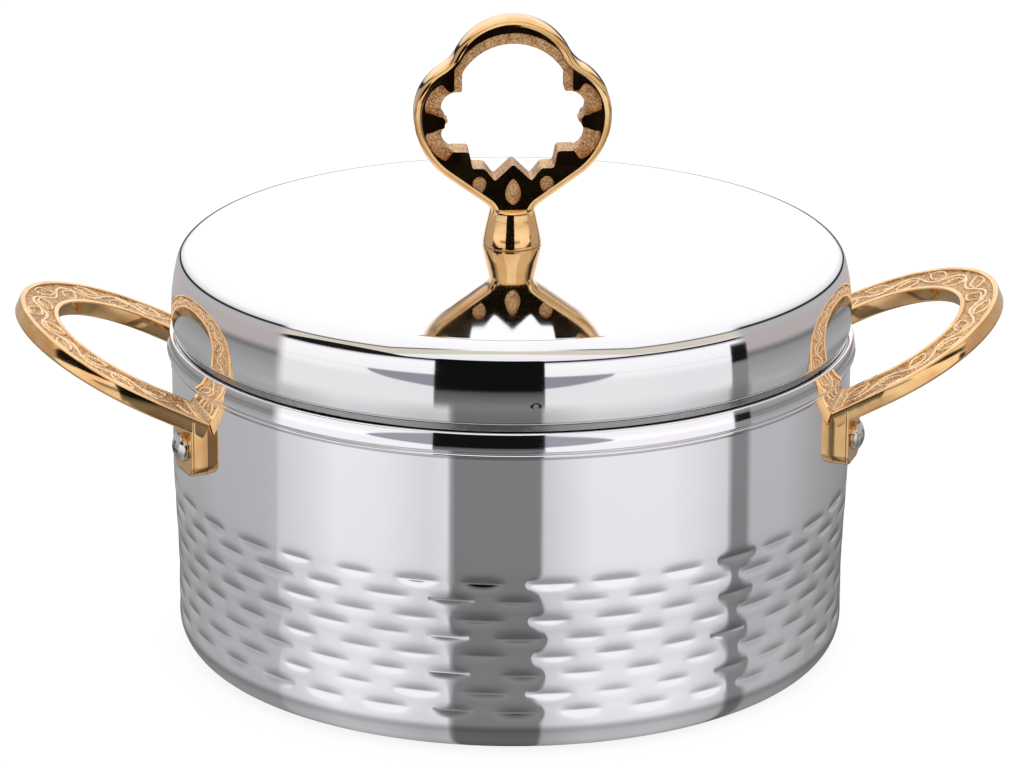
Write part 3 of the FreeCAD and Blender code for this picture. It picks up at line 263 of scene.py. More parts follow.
def with_block(g, tones, aside, rise):
    """The camera's black block, with rounded upper corners."""
    def past(value, edge, corner):
        """Zero well inside an edge, one on it and four well outside."""
        inner = g.span(value, edge - corner, edge, smooth=False)
        outer = g.span(value, edge, edge + corner, smooth=False)
        return g.math("POWER", g.plus(inner, outer), 2.0)

    sideways = past(aside, (BLOCK_RIGHT - BLOCK_LEFT) / 2, BLOCK_CORNER)
    upward = past(rise, BLOCK_TOP, BLOCK_CORNER_RISE)
    inside = g.span(g.plus(sideways, upward), 1.12, 0.88)
    return g.mix(inside, tones, g.ramp(rise, BLOCK_GREYS, 0, 90))


def studio_above(g, heading, away, rise):
    """Tones above level: the ceiling light in front, the flanks, and what stands before them."""
    aside = g.math("ABSOLUTE", g.minus(heading, (BLOCK_LEFT + BLOCK_RIGHT) / 2))
    front = with_cream(g, g.ramp(rise, FRONT_GREYS, 0, 90), away, rise)
    front = with_lens(g, with_crescent(g, front, heading, rise), aside, rise)
    flank = g.ramp(rise, FLANK_GREYS, 0, 90)
    tones = g.mix(g.span(away, SIDE_EDGE - 0.5, SIDE_EDGE + 2.5), front, flank)
    return with_block(g, with_slot(g, tones, heading, rise), aside, rise)


def make_world():
    world = bpy.data.worlds.new("studio")
    bpy.context.scene.world = world
    world.use_nodes = True
    g = Graph(world.node_tree)
    direction = g.add("TexCoord").outputs["Generated"]
    facing = g.vector("NORMALIZE", g.vector("ADD", direction, tuple(VIEW_DIRECTION)))
    up = g.add("SeparateXYZ", None, Vector=facing).outputs["Z"]
    aside = g.vector("DOT_PRODUCT", facing, tuple(SIDE))
    ahead = g.vector("DOT_PRODUCT", facing, tuple(FRONT))
    rise = g.math("DEGREES", g.math("ARCSINE", up))
    heading = g.math("DEGREES", g.math("ARCTAN2", aside, ahead))
    away = g.math("ABSOLUTE", heading)

    wall = g.ramp(heading, WALL_GREYS, -90, 90)
    below = g.vector("MULTIPLY", wall, g.ramp(rise, BELOW_LEVEL, -90, 0))
    above = studio_above(g, heading, away, rise)
    squarely = g.vector("DOT_PRODUCT", facing, tuple(VIEW_DIRECTION))
    grazing = g.times(g.span(squarely, 0.24, 0.14), g.span(rise, 25, 45))
    above = g.mix(grazing, above, GRAZING_TONE)
    tones = g.mix(g.span(rise, LEVEL_START, LEVEL_END), below, above)

    seen = g.add("LightPath").outputs["Is Camera Ray"]
    colour = g.mix(seen, tones, BACKGROUND)
    g.show(g.add("Background", None, Color=colour, Strength=1.0), "OutputWorld")


make_world()
bpy.context.scene.view_settings.view_transform = "Standard"


# ---- meshes ----

def make_object(name, vertices, faces, materials, face_materials=None, sharp=35.0):
    """Smooth-shaded mesh from points in millimetres."""
    mesh = bpy.data.meshes.new(name)
    mesh.from_pydata((np.asarray(vertices, float) * MM).tolist(), [], faces)
    for material in materials:
        mesh.materials.append(material)
    if face_materials is not None:
        mesh.polygons.foreach_set("material_index", face_materials)
    mesh.shade_smooth()
    mesh.set_sharp_from_angle(angle=math.radians(sharp))
    mesh.update()
    piece = bpy.data.objects.new(name, mesh)
    bpy.context.scene.collection.objects.link(piece)
    return piece


def finish_piece(piece, body, slot, *nodes):
    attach(piece, body)
    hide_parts(*nodes)


def arc_points(start, end, radius, side, step):
    """Points after start and up to end on the arc that bulges to that side of the way it goes."""
    start, end = np.array(start, float), np.array(end, float)
    chord = end - start
    half = np.linalg.norm(chord) / 2
    outward = np.array((-chord[1], chord[0])) / (2 * half) * side
    centre = (start + end) / 2 - outward * math.sqrt(max(radius * radius - half * half, 0.0))
    first = math.atan2(*(start - centre)[::-1])
    sweep = 2 * math.asin(min(half / radius, 1.0)) * -side
    count = max(2, math.ceil(abs(sweep) / math.radians(step)))
    turns = first + sweep * np.arange(1, count + 1) / count
    return [tuple(centre + radius * np.array((math.cos(turn), math.sin(turn)))) for turn in turns]


def line_points(start, end, edge, longest):
    """Points after start and up to end, with one close to each end that keeps the bend beside it
    from shading the flat."""
    start, end = np.array(start, float), np.array(end, float)
    length = np.linalg.norm(end - start)
    edge = min(edge, length / 4)
    count = max(1, math.ceil((length - 2 * edge) / longest))
    places = [edge + (length - 2 * edge) * index / count for index in range(count + 1)] + [length]
    return [tuple(start + (end - start) * place / length) for place in places]


def outline(path, step=6.0, edge=0.25, longest=12.0):
    """Samples a closed path. Its steps are (x, y) for a straight edge to that point, or
    (x, y, radius, side) for an arc to it."""
    points = []
    for index, target in enumerate(path):
        start = path[index - 1][:2]
        if len(target) == 2:
            points += line_points(start, target, edge, longest)
        else:
            points += arc_points(start, target[:2], target[2], target[3], step)
    return points


def lathe(profile, segments):
    """Vertices and faces of a closed profile of (radius, height) turned about Z."""
    turns = np.arange(segments) * FULL / segments
    cosines, sines = np.cos(turns), np.sin(turns)
    vertices, rings = [], []
    for radius, height in profile:
        first = len(vertices)
        if radius < 1e-6:
            vertices.append((0.0, 0.0, height))
            rings.append(np.full(segments, first))
        else:
            vertices += list(zip(radius * cosines, radius * sines, np.full(segments, height)))
            rings.append(first + np.arange(segments))
    faces = []
    for index, ring in enumerate(rings):
        below = rings[index - 1]
        if below[0] == below[-1] and ring[0] == ring[-1]:
            continue
        for a, b, c, d in zip(below, np.roll(below, -1), np.roll(ring, -1), ring):
            corners = list(dict.fromkeys((int(a), int(b), int(c), int(d))))
            faces.append(corners)
    return np.array(vertices, float), faces


# ---- materials ----

def new_graph(name):
    """A new material and the graph that fills it."""
    material = bpy.data.materials.new(name)
    material.use_nodes = True
    return material, Graph(material.node_tree)


def surface(name, colour, roughness, finish, metallic=1.0):
    """Principled material. What its finish's graph drives stands over the plain values given here."""
    material, g = new_graph(name)
    shader = g.add("BsdfPrincipled", None, Base_Color=colour, Metallic=metallic, Roughness=roughness)
    place = g.add("TexCoord").outputs["Object"]
    for socket, value in zip(("Base Color", "Roughness", "Normal"), finish(g, place)):
        g.feed(shader.inputs[socket], value)
    g.show(shader)
    return material


def polar(g, place):
    """Radius, turn and height as one vector, for marks that run round the axis."""
    parts = g.add("SeparateXYZ", None, Vector=place).outputs
    flat = g.add("CombineXYZ", None, X=parts["X"], Y=parts["Y"]).outputs["Vector"]
    turn = g.times(g.math("ARCTAN2", parts["Y"], parts["X"]), 0.02)
    return g.add("CombineXYZ", None, X=g.vector("LENGTH", flat), Y=turn, Z=parts["Z"]).outputs["Vector"]


def mirror_finish(g, place, deep=(0.93, 0.91, 0.955), pale=(0.96, 0.94, 0.98)):
    """Buffed mirror: faint cloudy haze, hairline polishing marks and a slow ripple of the sheet."""
    haze = g.noise(place, 35, detail=3)
    hairs = g.noise(g.stretched(polar(g, place), (1, 0.04, 1)), 0.5, detail=1)
    rough = g.plus(g.span(haze, 0.3, 0.75, 0.025, 0.06), g.span(hairs, 0.45, 0.8, 0.0, 0.02))
    ripple = g.bump(g.noise(place, 14, detail=1), 0.012, 0.6)
    return g.mix(g.span(haze, 0.25, 0.75), deep, pale), rough, ripple


def shaded_lid_finish(g, place):
    """The same buffing, tinted darker: the lid is the bowl's mirror steel, and its darker tint is painted
    shade.
    """
    return mirror_finish(g, place, (0.80, 0.79, 0.82), (0.83, 0.82, 0.84))


def satin_finish(g, place):
    """Spun satin inside: fine rings about the axis."""
    rings = g.noise(g.stretched(polar(g, place), (1, 0.02, 1)), 0.35, detail=2)
    rough = g.span(g.noise(place, 20, detail=3), 0.3, 0.7, 0.16, 0.26)
    return g.mix(rings, (0.70, 0.70, 0.715), (0.80, 0.80, 0.81)), rough, g.bump(rings, 0.01, 0.5)


def brushed_finish(g, place):
    """Straight brushed sheet."""
    lines = g.noise(g.stretched(place, (0.03, 1, 1)), 0.4, detail=2)
    tint = g.mix(g.noise(place, 12, detail=3), (0.62, 0.62, 0.63), (0.74, 0.74, 0.75))
    return tint, g.span(lines, 0.2, 0.8, 0.24, 0.40), g.bump(lines, 0.02, 0.6)


def zinc_finish(g, place):
    """Plated bracket steel: spangled crystals, dull."""
    shade = g.add("SeparateXYZ", None, Vector=g.cells(place, 2.2)["Color"]).outputs["X"]
    tint = g.mix(shade, (0.60, 0.61, 0.62), (0.72, 0.73, 0.74))
    return tint, g.span(shade, 0, 1, 0.32, 0.48, smooth=False), g.bump(g.noise(place, 0.8), 0.03, 0.5)


def shaded_hem_finish(g, place):
    """Dull folded edge of the lid pan, its dark tint painted shade of the gap between the lid and the
    collar.
    """
    scale = g.noise(place, 1.5, detail=3)
    tint = g.mix(scale, (0.27, 0.27, 0.28), (0.42, 0.42, 0.43))
    return tint, g.span(scale, 0.3, 0.7, 0.14, 0.26), g.bump(scale, 0.006, 0.5)


def screw_finish(g, place):
    """Bright nickel plate with light handling marks."""
    marks = g.noise(place, 1.2, detail=3)
    tint = g.mix(marks, (0.66, 0.65, 0.65), (0.84, 0.83, 0.82))
    return tint, g.span(marks, 0.35, 0.7, 0.10, 0.22), g.bump(marks, 0.02, 0.5)


GOLD_DEEP = (0.82, 0.46, 0.19)
GOLD_PALE = (0.95, 0.62, 0.30)
CHASED_DEEP = (0.88, 0.58, 0.30)
CHASED_PALE = (0.98, 0.76, 0.48)
# Copper tones of the cast ground: the deep one is painted shade in the grain's hollows, the pale one
# painted highlight on its tops.
COPPER_HOLLOW_SHADE = (0.42, 0.17, 0.06)
COPPER_GRAIN_HIGHLIGHT = (0.97, 0.66, 0.36)


def polished_gold_finish(g, place):
    """Buffed gold plating on a casting: soft ripple, slight tarnish and fine polishing lines."""
    cloud = g.noise(place, 9, detail=3)
    hairs = g.noise(g.stretched(place, (0.1, 0.1, 1)), 0.4, detail=1)
    rough = g.plus(g.span(cloud, 0.3, 0.7, 0.05, 0.10), g.span(hairs, 0.5, 0.8, 0.0, 0.03))
    ripple = g.bump(g.noise(place, 5, detail=1), 0.05, 0.5)
    return g.mix(g.span(cloud, 0.3, 0.7), GOLD_DEEP, GOLD_PALE), rough, ripple


def mirror_gold_finish(g, place):
    """Flat-lapped gold plating with faint wiping marks."""
    marks = g.noise(g.stretched(place, (1, 1, 0.3)), 4, detail=2)
    tint = g.mix(g.span(marks, 0.3, 0.7), GOLD_DEEP, GOLD_PALE)
    return tint, g.span(marks, 0.35, 0.75, 0.012, 0.025), g.bump(marks, 0.002, 0.3)


def rough_gold_finish(g, place):
    """Unpolished, granular cast ground, deep copper in the grain's hollows as painted shade and pale on the
    grain tops as painted highlight, with random patches of tone.
    """
    grain = g.noise(place, 0.55, detail=3, roughness=0.65)
    patches = g.span(g.noise(place, 3.5, detail=2), 0.35, 0.7, -0.1, 0.25)
    # Painted shade and highlight: the tint darkens with the grain's depth and lightens on its tops; the
    # patches are random tone.
    tone = g.plus(g.times(g.span(grain, 0.32, 0.66), 0.8), patches)
    tint = g.mix(g.math("MINIMUM", tone, 1.0), COPPER_HOLLOW_SHADE, COPPER_GRAIN_HIGHLIGHT)
    return tint, g.span(grain, 0.3, 0.7, 0.36, 0.18), g.bump(grain, 0.42)


def chased_finish(g, place):
    """Raised ornament, brushed bright over the rough ground."""
    cloud = g.noise(place, 2.5, detail=3)
    tint = g.mix(g.span(cloud, 0.3, 0.7), CHASED_DEEP, CHASED_PALE)
    return tint, g.span(cloud, 0.3, 0.7, 0.30, 0.20), g.bump(g.noise(place, 0.8, detail=2), 0.08, 0.5)


def foam_finish(g, place):
    """Closed-cell polyurethane foam: cream, slightly blotched, with fine cells."""
    tint = g.mix(g.noise(place, 18, detail=3), (0.86, 0.74, 0.49), (0.94, 0.86, 0.65))
    return tint, None, g.bump(g.cells(place, 1.1)["Distance"], 0.25, 0.7)


def plug_finish(g, place):
    """Moulded black plastic: light spark-eroded texture."""
    grain = g.noise(place, 0.4, detail=2)
    tint = g.mix(grain, (0.018, 0.018, 0.020), (0.035, 0.035, 0.038))
    return tint, g.span(grain, 0.3, 0.7, 0.38, 0.55), g.bump(grain, 0.03, 0.6)


# Painted shade: the bowl and the lid are one mirror steel, and the lid's copy below is tinted darker than
# the bowl's.
mirror_steel = surface("mirror_steel", (0.95, 0.93, 0.97), 0.04, mirror_finish)
shaded_lid_steel = surface("shaded_lid_steel", (0.81, 0.80, 0.83), 0.04, shaded_lid_finish)
# Painted shade: the dull hem steel is tinted dark for the shaded gap between lid and collar.
shaded_hem_steel = surface("shaded_hem_steel", (0.35, 0.35, 0.36), 0.2, shaded_hem_finish)
liner_steel = surface("liner_steel", (0.76, 0.76, 0.77), 0.2, satin_finish)
base_steel = surface("base_steel", (0.68, 0.68, 0.69), 0.3, brushed_finish)
bracket_steel = surface("bracket_steel", (0.66, 0.67, 0.68), 0.4, zinc_finish)
screw_steel = surface("screw_steel", (0.76, 0.75, 0.74), 0.15, screw_finish)
polished_gold = surface("polished_gold", GOLD_PALE, 0.07, polished_gold_finish)
rough_gold = surface("rough_gold", COPPER_GRAIN_HIGHLIGHT, 0.4, rough_gold_finish)
mirror_gold = surface("mirror_gold", GOLD_PALE, 0.04, mirror_gold_finish)
chased_gold = surface("chased_gold", GOLD_PALE, 0.25, chased_finish)
foam = surface("foam", (0.90, 0.80, 0.57), 0.9, foam_finish, 0.0)
plug_plastic = surface("plug_plastic", (0.025, 0.025, 0.03), 0.45, plug_finish, 0.0)


def dress(material, *nodes):
    """Gives CAD nodes that keep their shape a procedural material."""
    for node in nodes:
        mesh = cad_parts[node].data
        mesh.materials.clear()
        mesh.materials.append(material)


# ---- bowl and lid ----

GAUGE = 0.8
GAP = 0.05
WALL = 110.0
SEGMENTS = 360

BASE_CORNER = 10.0
FOOT_OUTER = WALL - BASE_CORNER
FOOT_INNER = FOOT_OUTER - 6.0
BASE_RECESS = 3.0
FLANGE_EDGE = FOOT_INNER - 6.0
COLLAR_TOP = 105.8
COLLAR_HEIGHT = 6.2
SHELL_TOP = COLLAR_TOP - GAUGE - GAP
BEAD_MIDDLE = COLLAR_TOP - COLLAR_HEIGHT - 1.4
BEAD_HALF = 0.8
BEAD_PROUD = 0.45
BEAD_RADIUS = (BEAD_HALF ** 2 + BEAD_PROUD ** 2) / (2 * BEAD_PROUD)

# The wall draws in a little over the hammered band.
DRAW_IN = 1.3
DRAW_START, DRAW_END = 64.0, 24.0

# The hammered band: staggered rows of creases, each a valley that is steepest along its line.
CREASE_TOP_ROW = 57.1
CREASE_ROW_PITCH = 6.12
CREASE_ROWS = 8
CREASES_PER_ROW = 33
CREASE_HALF_LENGTH = 7.9
CREASE_DEPTH = 0.35
FIRST_ROW_DEPTH = 0.50
CREASE_ABOVE = 5.2
CREASE_BELOW = 3.4
CREASE_ABOVE_POWER, CREASE_BELOW_POWER, CREASE_TAPER = 3.2, 1.9, 0.9
CREASE_NUDGE, CREASE_LIFT = 1.5, 0.35
CREASE_LENGTHS, CREASE_DEPTHS = (0.86, 1.12), (0.75, 1.15)
CREASE_BOW = 0.12
PILLOW_HEIGHT = 0.05
HAMMER_SEED = 11
HAMMER_SEGMENTS = 900
HAMMER_LOW, HAMMER_HIGH = 10.2, 63.0
HAMMER_ROW_STEP = 0.36
PILLOW_LOW, PILLOW_ABOVE, PILLOW_FADE = 11.0, 2.0, 4.0


def crease_profile(across):
    """Depth share over a crease, from above (positive) to below its line."""
    above = np.clip(1 - across / CREASE_ABOVE, 0, 1) ** CREASE_ABOVE_POWER
    below = np.clip(1 + across / CREASE_BELOW, 0, 1) ** CREASE_BELOW_POWER
    return np.where(across > 0, above, below)


def hammering(turn, height):
    """Depth of the hammering at each turn and height on the wall, in millimetres."""
    chance = np.random.default_rng(HAMMER_SEED)
    depth = np.zeros_like(height)
    pitch = FULL * WALL / CREASES_PER_ROW
    for row in range(CREASE_ROWS):
        line = CREASE_TOP_ROW - row * CREASE_ROW_PITCH
        along = turn * WALL / pitch - 0.5 * (row % 2)
        index = np.round(along).astype(int) % CREASES_PER_ROW
        aside = (along - np.round(along)) * pitch
        nudge = chance.uniform(-CREASE_NUDGE, CREASE_NUDGE, CREASES_PER_ROW)[index]
        lift = chance.uniform(-CREASE_LIFT, CREASE_LIFT, CREASES_PER_ROW)[index]
        length = CREASE_HALF_LENGTH * chance.uniform(*CREASE_LENGTHS, CREASES_PER_ROW)[index]
        deepest = FIRST_ROW_DEPTH if row == 0 else CREASE_DEPTH
        strength = deepest * chance.uniform(*CREASE_DEPTHS, CREASES_PER_ROW)[index]
        share = np.clip(np.abs((aside - nudge) / length), 0, 1)
        across = height - line - lift + CREASE_BOW * (1 - share ** 2)
        depth += strength * (1 - share ** 2) ** CREASE_TAPER * crease_profile(across)
    swell = np.cos(turn * CREASES_PER_ROW) * np.sin((height - CREASE_TOP_ROW) / CREASE_ROW_PITCH * math.pi)
    fade = np.clip((CREASE_TOP_ROW + PILLOW_ABOVE - height) / PILLOW_FADE, 0, 1)
    fade *= np.clip((height - PILLOW_LOW) / PILLOW_FADE, 0, 1)
    return depth + PILLOW_HEIGHT * (1 - swell) * fade


def draw_in(vertices):
    """Narrows the wall and the outer part of its lower bend."""
    radius = np.hypot(vertices[:, 0], vertices[:, 1])
    share = np.clip((DRAW_START - vertices[:, 2]) / (DRAW_START - DRAW_END), 0, 1)
    outer = np.clip((radius - FOOT_OUTER) / BASE_CORNER, 0, 1)
    inward = DRAW_IN * share * share * (3 - 2 * share) * outer
    vertices[:, :2] *= (1 - inward / np.maximum(radius, 1))[:, None]


def make_outer_shell():
    rows = np.arange(HAMMER_HIGH, HAMMER_LOW, -HAMMER_ROW_STEP)
    inside = WALL - GAUGE
    flange_top = BASE_RECESS + GAUGE
    bead_low, bead_high = BEAD_MIDDLE - BEAD_HALF, BEAD_MIDDLE + BEAD_HALF
    upper = outline([
        (inside, bead_high), (inside, SHELL_TOP), (WALL, SHELL_TOP), (WALL, bead_high),
        (WALL, bead_low, BEAD_RADIUS, LEFT),
        (WALL, HAMMER_HIGH + HAMMER_ROW_STEP),
    ], step=10)[1:]
    lower = outline([
        (WALL, BASE_CORNER),
        (FOOT_OUTER, 0, BASE_CORNER, LEFT),
        (FOOT_INNER, 0), (FOOT_INNER, BASE_RECESS), (FLANGE_EDGE, BASE_RECESS), (FLANGE_EDGE, flange_top),
        (FOOT_INNER + GAUGE, flange_top), (FOOT_INNER + GAUGE, GAUGE), (FOOT_OUTER, GAUGE),
        (inside, BASE_CORNER, BASE_CORNER - GAUGE, RIGHT),
        (inside, bead_low),
        (inside, bead_high, BEAD_RADIUS, RIGHT),
    ], step=5)
    first = next(index for index, point in enumerate(lower) if abs(point[1] - BASE_CORNER) < 1e-9)
    profile = upper + [(WALL, height) for height in rows] + lower[first:]
    vertices, faces = lathe(profile, HAMMER_SEGMENTS)
    radius = np.hypot(vertices[:, 0], vertices[:, 1])
    hammered = (radius > WALL - 1e-6) & (vertices[:, 2] < HAMMER_HIGH) & (vertices[:, 2] > HAMMER_LOW)
    turn = np.arctan2(vertices[:, 1], vertices[:, 0])
    depth = hammering(turn[hammered], vertices[hammered, 2])
    vertices[hammered, :2] *= (1 - depth / WALL)[:, None]
    draw_in(vertices)
    piece = make_object("bowl_shell", vertices, faces, [mirror_steel], sharp=60)
    finish_piece(piece, "bowl", "mirror_steel", "outer_shell")


def turned(name, path, body, slot, material, node, outside=None, outside_from=0.0):
    """Smooth lathe in place of a turned CAD node, with another finish outside a radius."""
    vertices, faces = lathe(outline(path, step=5), SEGMENTS)
    materials, kinds = [material], None
    if outside is not None:
        radius = np.hypot(vertices[:, 0], vertices[:, 1])
        materials.append(outside)
        kinds = [int(radius[face].min() > outside_from) for face in faces]
    piece = make_object(name, vertices, faces, materials, kinds, sharp=50)
    finish_piece(piece, body, slot, node)


CAVITY = WALL - 12.0
CAVITY_FLOOR = 14.0
CAVITY_CORNER = 12.0
RIM_BEND = 1.5
COLLAR_INNER = WALL + GAP
COLLAR_HIGH_OUT = 110.62
COLLAR_LOW_OUT = 111.5
COLLAR_CROWN = 55.0
COLLAR_HIGH_ROUND = 0.55
COLLAR_LOW_ROUND = 0.6


def make_liner():
    """Satin liner whose polished rim ends in the collar. The collar leans out a little downward."""
    low, rim_low = COLLAR_TOP - COLLAR_HEIGHT, COLLAR_TOP - RIM_BEND
    corner_in, corner_up = CAVITY - CAVITY_CORNER, CAVITY_FLOOR + CAVITY_CORNER
    turned("liner", [
        (0, CAVITY_FLOOR), (corner_in, CAVITY_FLOOR), (CAVITY, corner_up, CAVITY_CORNER, RIGHT),
        (CAVITY, rim_low), (CAVITY + RIM_BEND, COLLAR_TOP, RIM_BEND, LEFT),
        (COLLAR_HIGH_OUT - COLLAR_HIGH_ROUND, COLLAR_TOP),
        (COLLAR_HIGH_OUT, COLLAR_TOP - COLLAR_HIGH_ROUND, COLLAR_HIGH_ROUND, LEFT),
        (COLLAR_LOW_OUT, low + COLLAR_LOW_ROUND, COLLAR_CROWN, LEFT),
        (COLLAR_LOW_OUT - COLLAR_LOW_ROUND, low, COLLAR_LOW_ROUND, LEFT),
        (COLLAR_INNER, low), (COLLAR_INNER, COLLAR_TOP - GAUGE), (CAVITY + RIM_BEND, COLLAR_TOP - GAUGE),
        (CAVITY + GAUGE, rim_low, RIM_BEND - GAUGE, RIGHT), (CAVITY + GAUGE, corner_up),
        (corner_in, CAVITY_FLOOR - GAUGE, CAVITY_CORNER + GAUGE, LEFT), (0, CAVITY_FLOOR - GAUGE),
    ], "bowl", "liner_steel", liner_steel, "inner_liner", mirror_steel, CAVITY + 0.5)


LID_TOP = 133.0
SKIRT_BOTTOM = 108.0
SKIRT_ROUND = 1.2
SKIRT_LIP = 3.0
LID_EDGE = 7.0
LID_BLEND = math.radians(14)
SHOULDER_START = SKIRT_BOTTOM + SKIRT_ROUND
LID_BARREL = 3.3
LID_BARREL_RADIUS = 30.0
LID_BARREL_END = SHOULDER_START + LID_BARREL
LID_SIDE = LID_EDGE + (LID_TOP - LID_EDGE - LID_BARREL_END) / math.sin(LID_BLEND)
LID_HOLE = 2.7


def shoulder(inset):
    """Start, widest place, blend and top of the lid's side, moved inward by an inset."""
    side = LID_SIDE - inset
    blend = (WALL - LID_SIDE + side * math.cos(LID_BLEND), LID_BARREL_END + side * math.sin(LID_BLEND))
    top = (blend[0] - (LID_EDGE - inset) * math.cos(LID_BLEND), LID_TOP - inset)
    drop = LID_BARREL_RADIUS - math.sqrt(LID_BARREL_RADIUS ** 2 - LID_BARREL ** 2)
    return (WALL - drop - inset, SHOULDER_START), (WALL - inset, LID_BARREL_END), blend, top


def make_lid_skin():
    start, widest, blend, top = shoulder(0)
    inner_start, inner_widest, inner_blend, inner_top = shoulder(GAUGE)
    rolled, lip = start[0] - SKIRT_ROUND, WALL - SKIRT_LIP
    turned("lid_skin", [
        (lip, SKIRT_BOTTOM), (rolled, SKIRT_BOTTOM), (*start, SKIRT_ROUND, RIGHT),
        (*widest, LID_BARREL_RADIUS, RIGHT), (*blend, LID_SIDE, RIGHT), (*top, LID_EDGE, RIGHT),
        (LID_HOLE, LID_TOP), (LID_HOLE, LID_TOP - GAUGE), inner_top,
        (*inner_blend, LID_EDGE - GAUGE, LEFT), (*inner_widest, LID_SIDE - GAUGE, LEFT),
        (*inner_start, LID_BARREL_RADIUS, LEFT),
        (rolled, SKIRT_BOTTOM + GAUGE, SKIRT_ROUND - GAUGE, LEFT), (lip, SKIRT_BOTTOM + GAUGE),
    ], "lid", "mirror_steel", shaded_lid_steel, "lid_shell")


LID_SEAT = COLLAR_TOP + 0.3
LID_RIM_OUT = CAVITY - 0.6
LID_RIM_IN = LID_RIM_OUT - 9.0
LID_RIM_LOW = LID_SEAT - 8.0
LID_RIM_BEND = 2.0
LID_FLANGE = 1.8
LID_CEILING = LID_TOP - 20.5
LID_ARCH = 5.0
LID_PLUG_HOLE = 5.0
HEM_OUT = WALL - 1.0
HEM_WIDTH = 4.0


def make_lid_pan():
    out, into, low, bend = LID_RIM_OUT, LID_RIM_IN, LID_RIM_LOW, LID_RIM_BEND
    ceiling, arch, seat, flange = LID_CEILING, LID_ARCH, LID_SEAT, LID_FLANGE
    # Outside the hem's radius the pan takes the steel tinted dark as painted shade of the gap.
    turned("lid_pan", [
        (HEM_OUT, seat), (out + flange, seat), (out, seat - flange, flange, RIGHT),
        (out, low + bend), (out - bend, low, bend, LEFT),
        (into + bend, low), (into, low + bend, bend, LEFT),
        (into, ceiling - arch), (into - arch, ceiling, arch, RIGHT),
        (LID_PLUG_HOLE, ceiling), (LID_PLUG_HOLE, ceiling + GAUGE),
        (into - arch, ceiling + GAUGE), (into + GAUGE, ceiling - arch, arch + GAUGE, LEFT),
        (into + GAUGE, low + bend), (into + bend, low + GAUGE, bend - GAUGE, RIGHT),
        (out - bend, low + GAUGE), (out - GAUGE, low + bend, bend - GAUGE, RIGHT),
        (out - GAUGE, seat - flange), (out + flange, seat + GAUGE, flange + GAUGE, LEFT),
        (HEM_OUT - HEM_WIDTH, seat + GAUGE), (HEM_OUT - HEM_WIDTH, SKIRT_BOTTOM - GAP),
        (HEM_OUT, SKIRT_BOTTOM - GAP),
    ], "lid", "liner_steel", liner_steel, "lid_liner", shaded_hem_steel, HEM_OUT - 0.5)


PLUG_WELL = 6.0
PLUG_STEM = 2.5


def make_filling():
    """Foam between liner and shell. It draws in with the wall."""
    inner, outer = CAVITY + GAUGE + GAP, WALL - GAUGE - GAP
    underside, low = CAVITY_FLOOR - GAUGE - GAP, GAUGE + GAP
    well_top = BASE_RECESS + PLUG_STEM
    profile = outline([
        (0, underside), (CAVITY - CAVITY_CORNER, underside),
        (inner, CAVITY_FLOOR + CAVITY_CORNER, CAVITY_CORNER + low, RIGHT),
        (inner, COLLAR_TOP - RIM_BEND), (outer, COLLAR_TOP - RIM_BEND), (outer, BASE_CORNER),
        (FOOT_OUTER, low, BASE_CORNER - low, LEFT),
        (FOOT_INNER + low, low), (FOOT_INNER + low, BASE_RECESS + low),
        (FLANGE_EDGE - GAP, BASE_RECESS + low), (FLANGE_EDGE - GAP, BASE_RECESS),
        (PLUG_WELL, BASE_RECESS), (PLUG_WELL, well_top), (0, well_top),
    ], step=6, longest=3)
    vertices, faces = lathe(profile[::-1], 180)
    draw_in(vertices)
    piece = make_object("foam_filling", vertices, faces, [foam], sharp=50)
    finish_piece(piece, "bowl", "foam", "body_insulation")


make_outer_shell()
make_filling()
make_liner()
make_lid_skin()
make_lid_pan()

dress(foam, "lid_insulation")
dress(plug_plastic, "base_plug", "lid_plug")
dress(base_steel, "base_plate")
dress(bracket_steel, "knob_screw", "knob_washer", "handle_left_backing", "handle_left_nuts",
      "handle_right_backing", "handle_right_nuts")


# ---- stepped sheets ----

class Soup:
    """Loose faces with a material each. Points that coincide are joined when the mesh is made."""

    def __init__(self):
        self.points, self.faces, self.kinds = [], [], []

    def add(self, corners, kind):
        first = len(self.points)
        self.points += [tuple(corner) for corner in corners]
        self.faces.append(tuple(range(first, first + len(corners))))
        self.kinds.append(kind)

    def add_grid(self, grid, kinds, closed=False):
        """Quads over rows of points. kinds is one material, or one for each quad."""
        grid = np.asarray(grid, float)
        count, width = grid.shape[:2]
        first = len(self.points)
        self.points += [tuple(point) for point in grid.reshape(-1, 3)]
        for row in range(count - 1):
            for column in range(width if closed else width - 1):
                beside = (column + 1) % width
                a, b = first + row * width + column, first + row * width + beside
                self.faces.append((a, b, b + width, a + width))
                self.kinds.append(kinds if isinstance(kinds, int) else int(kinds[row][column]))

    def make(self, name, materials, sharp):
        points = np.asarray(self.points, float)
        _, first, joined = np.unique(np.round(points, 4), axis=0, return_index=True, return_inverse=True)
        joined = joined.ravel()
        faces, kinds = [], []
        for face, kind in zip(self.faces, self.kinds):
            corners = list(dict.fromkeys(int(joined[index]) for index in face))
            if len(corners) > 2:
                faces.append(corners)
                kinds.append(kind)
        return make_object(name, points[first], faces, materials, kinds, sharp)


def arc_about(centre, radius, first, last, step=3.0):
    """Points on an arc between two angles in degrees, both ends included."""
    count = max(2, math.ceil(abs(last - first) / step))
    return [(centre[0] + radius * math.cos(turn), centre[1] + radius * math.sin(turn))
            for turn in np.radians(np.linspace(first, last, count + 1))]


def resampled(points, spacing):
    """Closed loop with its corners kept and its long edges divided."""
    result = []
    for index, start in enumerate(points):
        end = points[(index + 1) % len(points)]
        count = max(1, round(math.dist(start, end) / spacing))
        result += [(start[0] + (end[0] - start[0]) * part / count,
                    start[1] + (end[1] - start[1]) * part / count) for part in range(count)]
    return result


